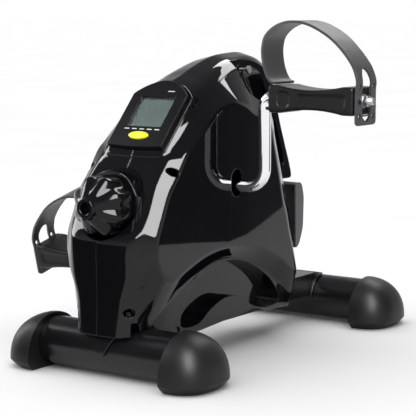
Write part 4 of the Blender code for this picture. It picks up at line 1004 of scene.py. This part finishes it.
# ---------------- floor, light and camera
LIT_POINT = Vector((0.0, 0.0, 0.15))
SIDE_CARD_EDGE = [(0.66, 0.36, 0), (0.60, 0.50, 0), (0.55, 0.575, 0), (0.515, 0.615, 0),
                  (0.535, 0.70, 0), (0.576, 0.80, 0), (0.713, 1.125, 0), (0.80, 1.40, 0)]
SIDE_CARD_HEIGHT = 1.1
FRONT_CARD_EDGE = [(-0.30, -0.24, 0), (-0.20, -0.27, 0), (-0.12, -0.315, 0), (-0.04, -0.375, 0),
                   (0.03, -0.44, 0)]
FRONT_CARD_HEIGHT = 0.18
# Each softbox: name, place, width, height, radiance.
SOFTBOXES = [("key", (1.12, -0.98, 1.50), 1.0, 1.8, 20.0),
             ("left_fill", (-1.9, -0.5, 1.0), 0.8, 1.2, 10.0),
             ("rear_top", (-0.2, 1.7, 1.9), 1.4, 0.7, 8.0)]


def flat_card(name, edge, rise, material):
    """A card, bent along the points of its edge, that reaches from them by the vector rise."""
    mesh = bpy.data.meshes.new(name)
    low = [Vector(point) for point in edge]
    count = len(low)
    faces = [(i, i + 1, count + i + 1, count + i) for i in range(count - 1)]
    mesh.from_pydata(low + [point + Vector(rise) for point in low], [], faces)
    mesh.materials.append(material)
    card = bpy.data.objects.new(name, mesh)
    bpy.context.scene.collection.objects.link(card)
    return card


def softbox(name, location, width, height, radiance):
    """A rectangular light turned to the object, seen only as a reflection in its surfaces."""
    light = bpy.data.lights.new(name, "AREA")
    light.shape = "RECTANGLE"
    light.size, light.size_y = width, height
    light.energy = radiance * math.pi * width * height
    lamp = bpy.data.objects.new(name, light)
    bpy.context.scene.collection.objects.link(lamp)
    lamp.location = location
    lamp.rotation_euler = (LIT_POINT - Vector(location)).to_track_quat("-Z", "Y").to_euler()
    lamp.visible_camera = False
    lamp.visible_diffuse = False
    lamp.visible_transmission = False


def sky():
    """A world that is white at the horizon and grey overhead."""
    world = bpy.data.worlds.new("studio")
    world.use_nodes = True
    tree = world.node_tree
    background = tree.nodes["Background"]
    direction = tree.nodes.new("ShaderNodeTexCoord")
    parts = tree.nodes.new("ShaderNodeSeparateXYZ")
    ramp = tree.nodes.new("ShaderNodeValToRGB")
    ramp.color_ramp.elements[0].position = 0.02
    ramp.color_ramp.elements[0].color = (1.0, 1.0, 1.0, 1.0)
    ramp.color_ramp.elements[1].position = 0.55
    ramp.color_ramp.elements[1].color = (0.22, 0.22, 0.23, 1.0)
    tree.links.new(direction.outputs["Generated"], parts.inputs["Vector"])
    tree.links.new(parts.outputs["Z"], ramp.inputs["Fac"])
    tree.links.new(ramp.outputs["Color"], background.inputs["Color"])
    background.inputs["Strength"].default_value = 1.0
    bpy.context.scene.world = world


def studio():
    """Floor, two dark cards that the gloss mirrors, three softboxes and a wide overhead light."""
    flat_card("floor", [(-40, -40, 0), (40, -40, 0)], (0, 80, 0), FLOOR)
    cards = (("dark_card_side", SIDE_CARD_EDGE, SIDE_CARD_HEIGHT),
             ("dark_card_front", FRONT_CARD_EDGE, FRONT_CARD_HEIGHT))
    for name, edge, height in cards:
        shade = flat_card(name, edge, (0, 0, height), BELT)
        shade.visible_camera = False
        shade.visible_shadow = False
        shade.visible_diffuse = False
    for values in SOFTBOXES:
        softbox(*values)
    sun = bpy.data.lights.new("room_light", "SUN")
    sun.energy = 2.8
    sun.angle = math.radians(100.0)
    lamp = bpy.data.objects.new("room_light", sun)
    bpy.context.scene.collection.objects.link(lamp)
    lamp.rotation_euler = (math.radians(12.0), math.radians(-8.0), 0.0)
    lamp.visible_glossy = False


CAMERA_PLACE = (0.9147, -1.3350, 0.3628)
CAMERA_DOWN_DEGREES = 7.4775
CAMERA_ROUND_DEGREES = 34.819
CAMERA_LENS = 129.1


def aim_camera():
    camera = bpy.data.objects.new("camera", bpy.data.cameras.new("camera"))
    bpy.context.scene.collection.objects.link(camera)
    camera.location = CAMERA_PLACE
    camera.rotation_euler = (math.radians(90.0 - CAMERA_DOWN_DEGREES), 0.0,
                             math.radians(CAMERA_ROUND_DEGREES))
    camera.data.lens = CAMERA_LENS
    camera.data.sensor_width = 36.0
    camera.data.clip_start = 0.05
    bpy.context.scene.camera = camera


sky()
studio()
aim_camera()
bpy.context.scene.view_settings.view_transform = "Standard"

bpy.context.view_layer.update()
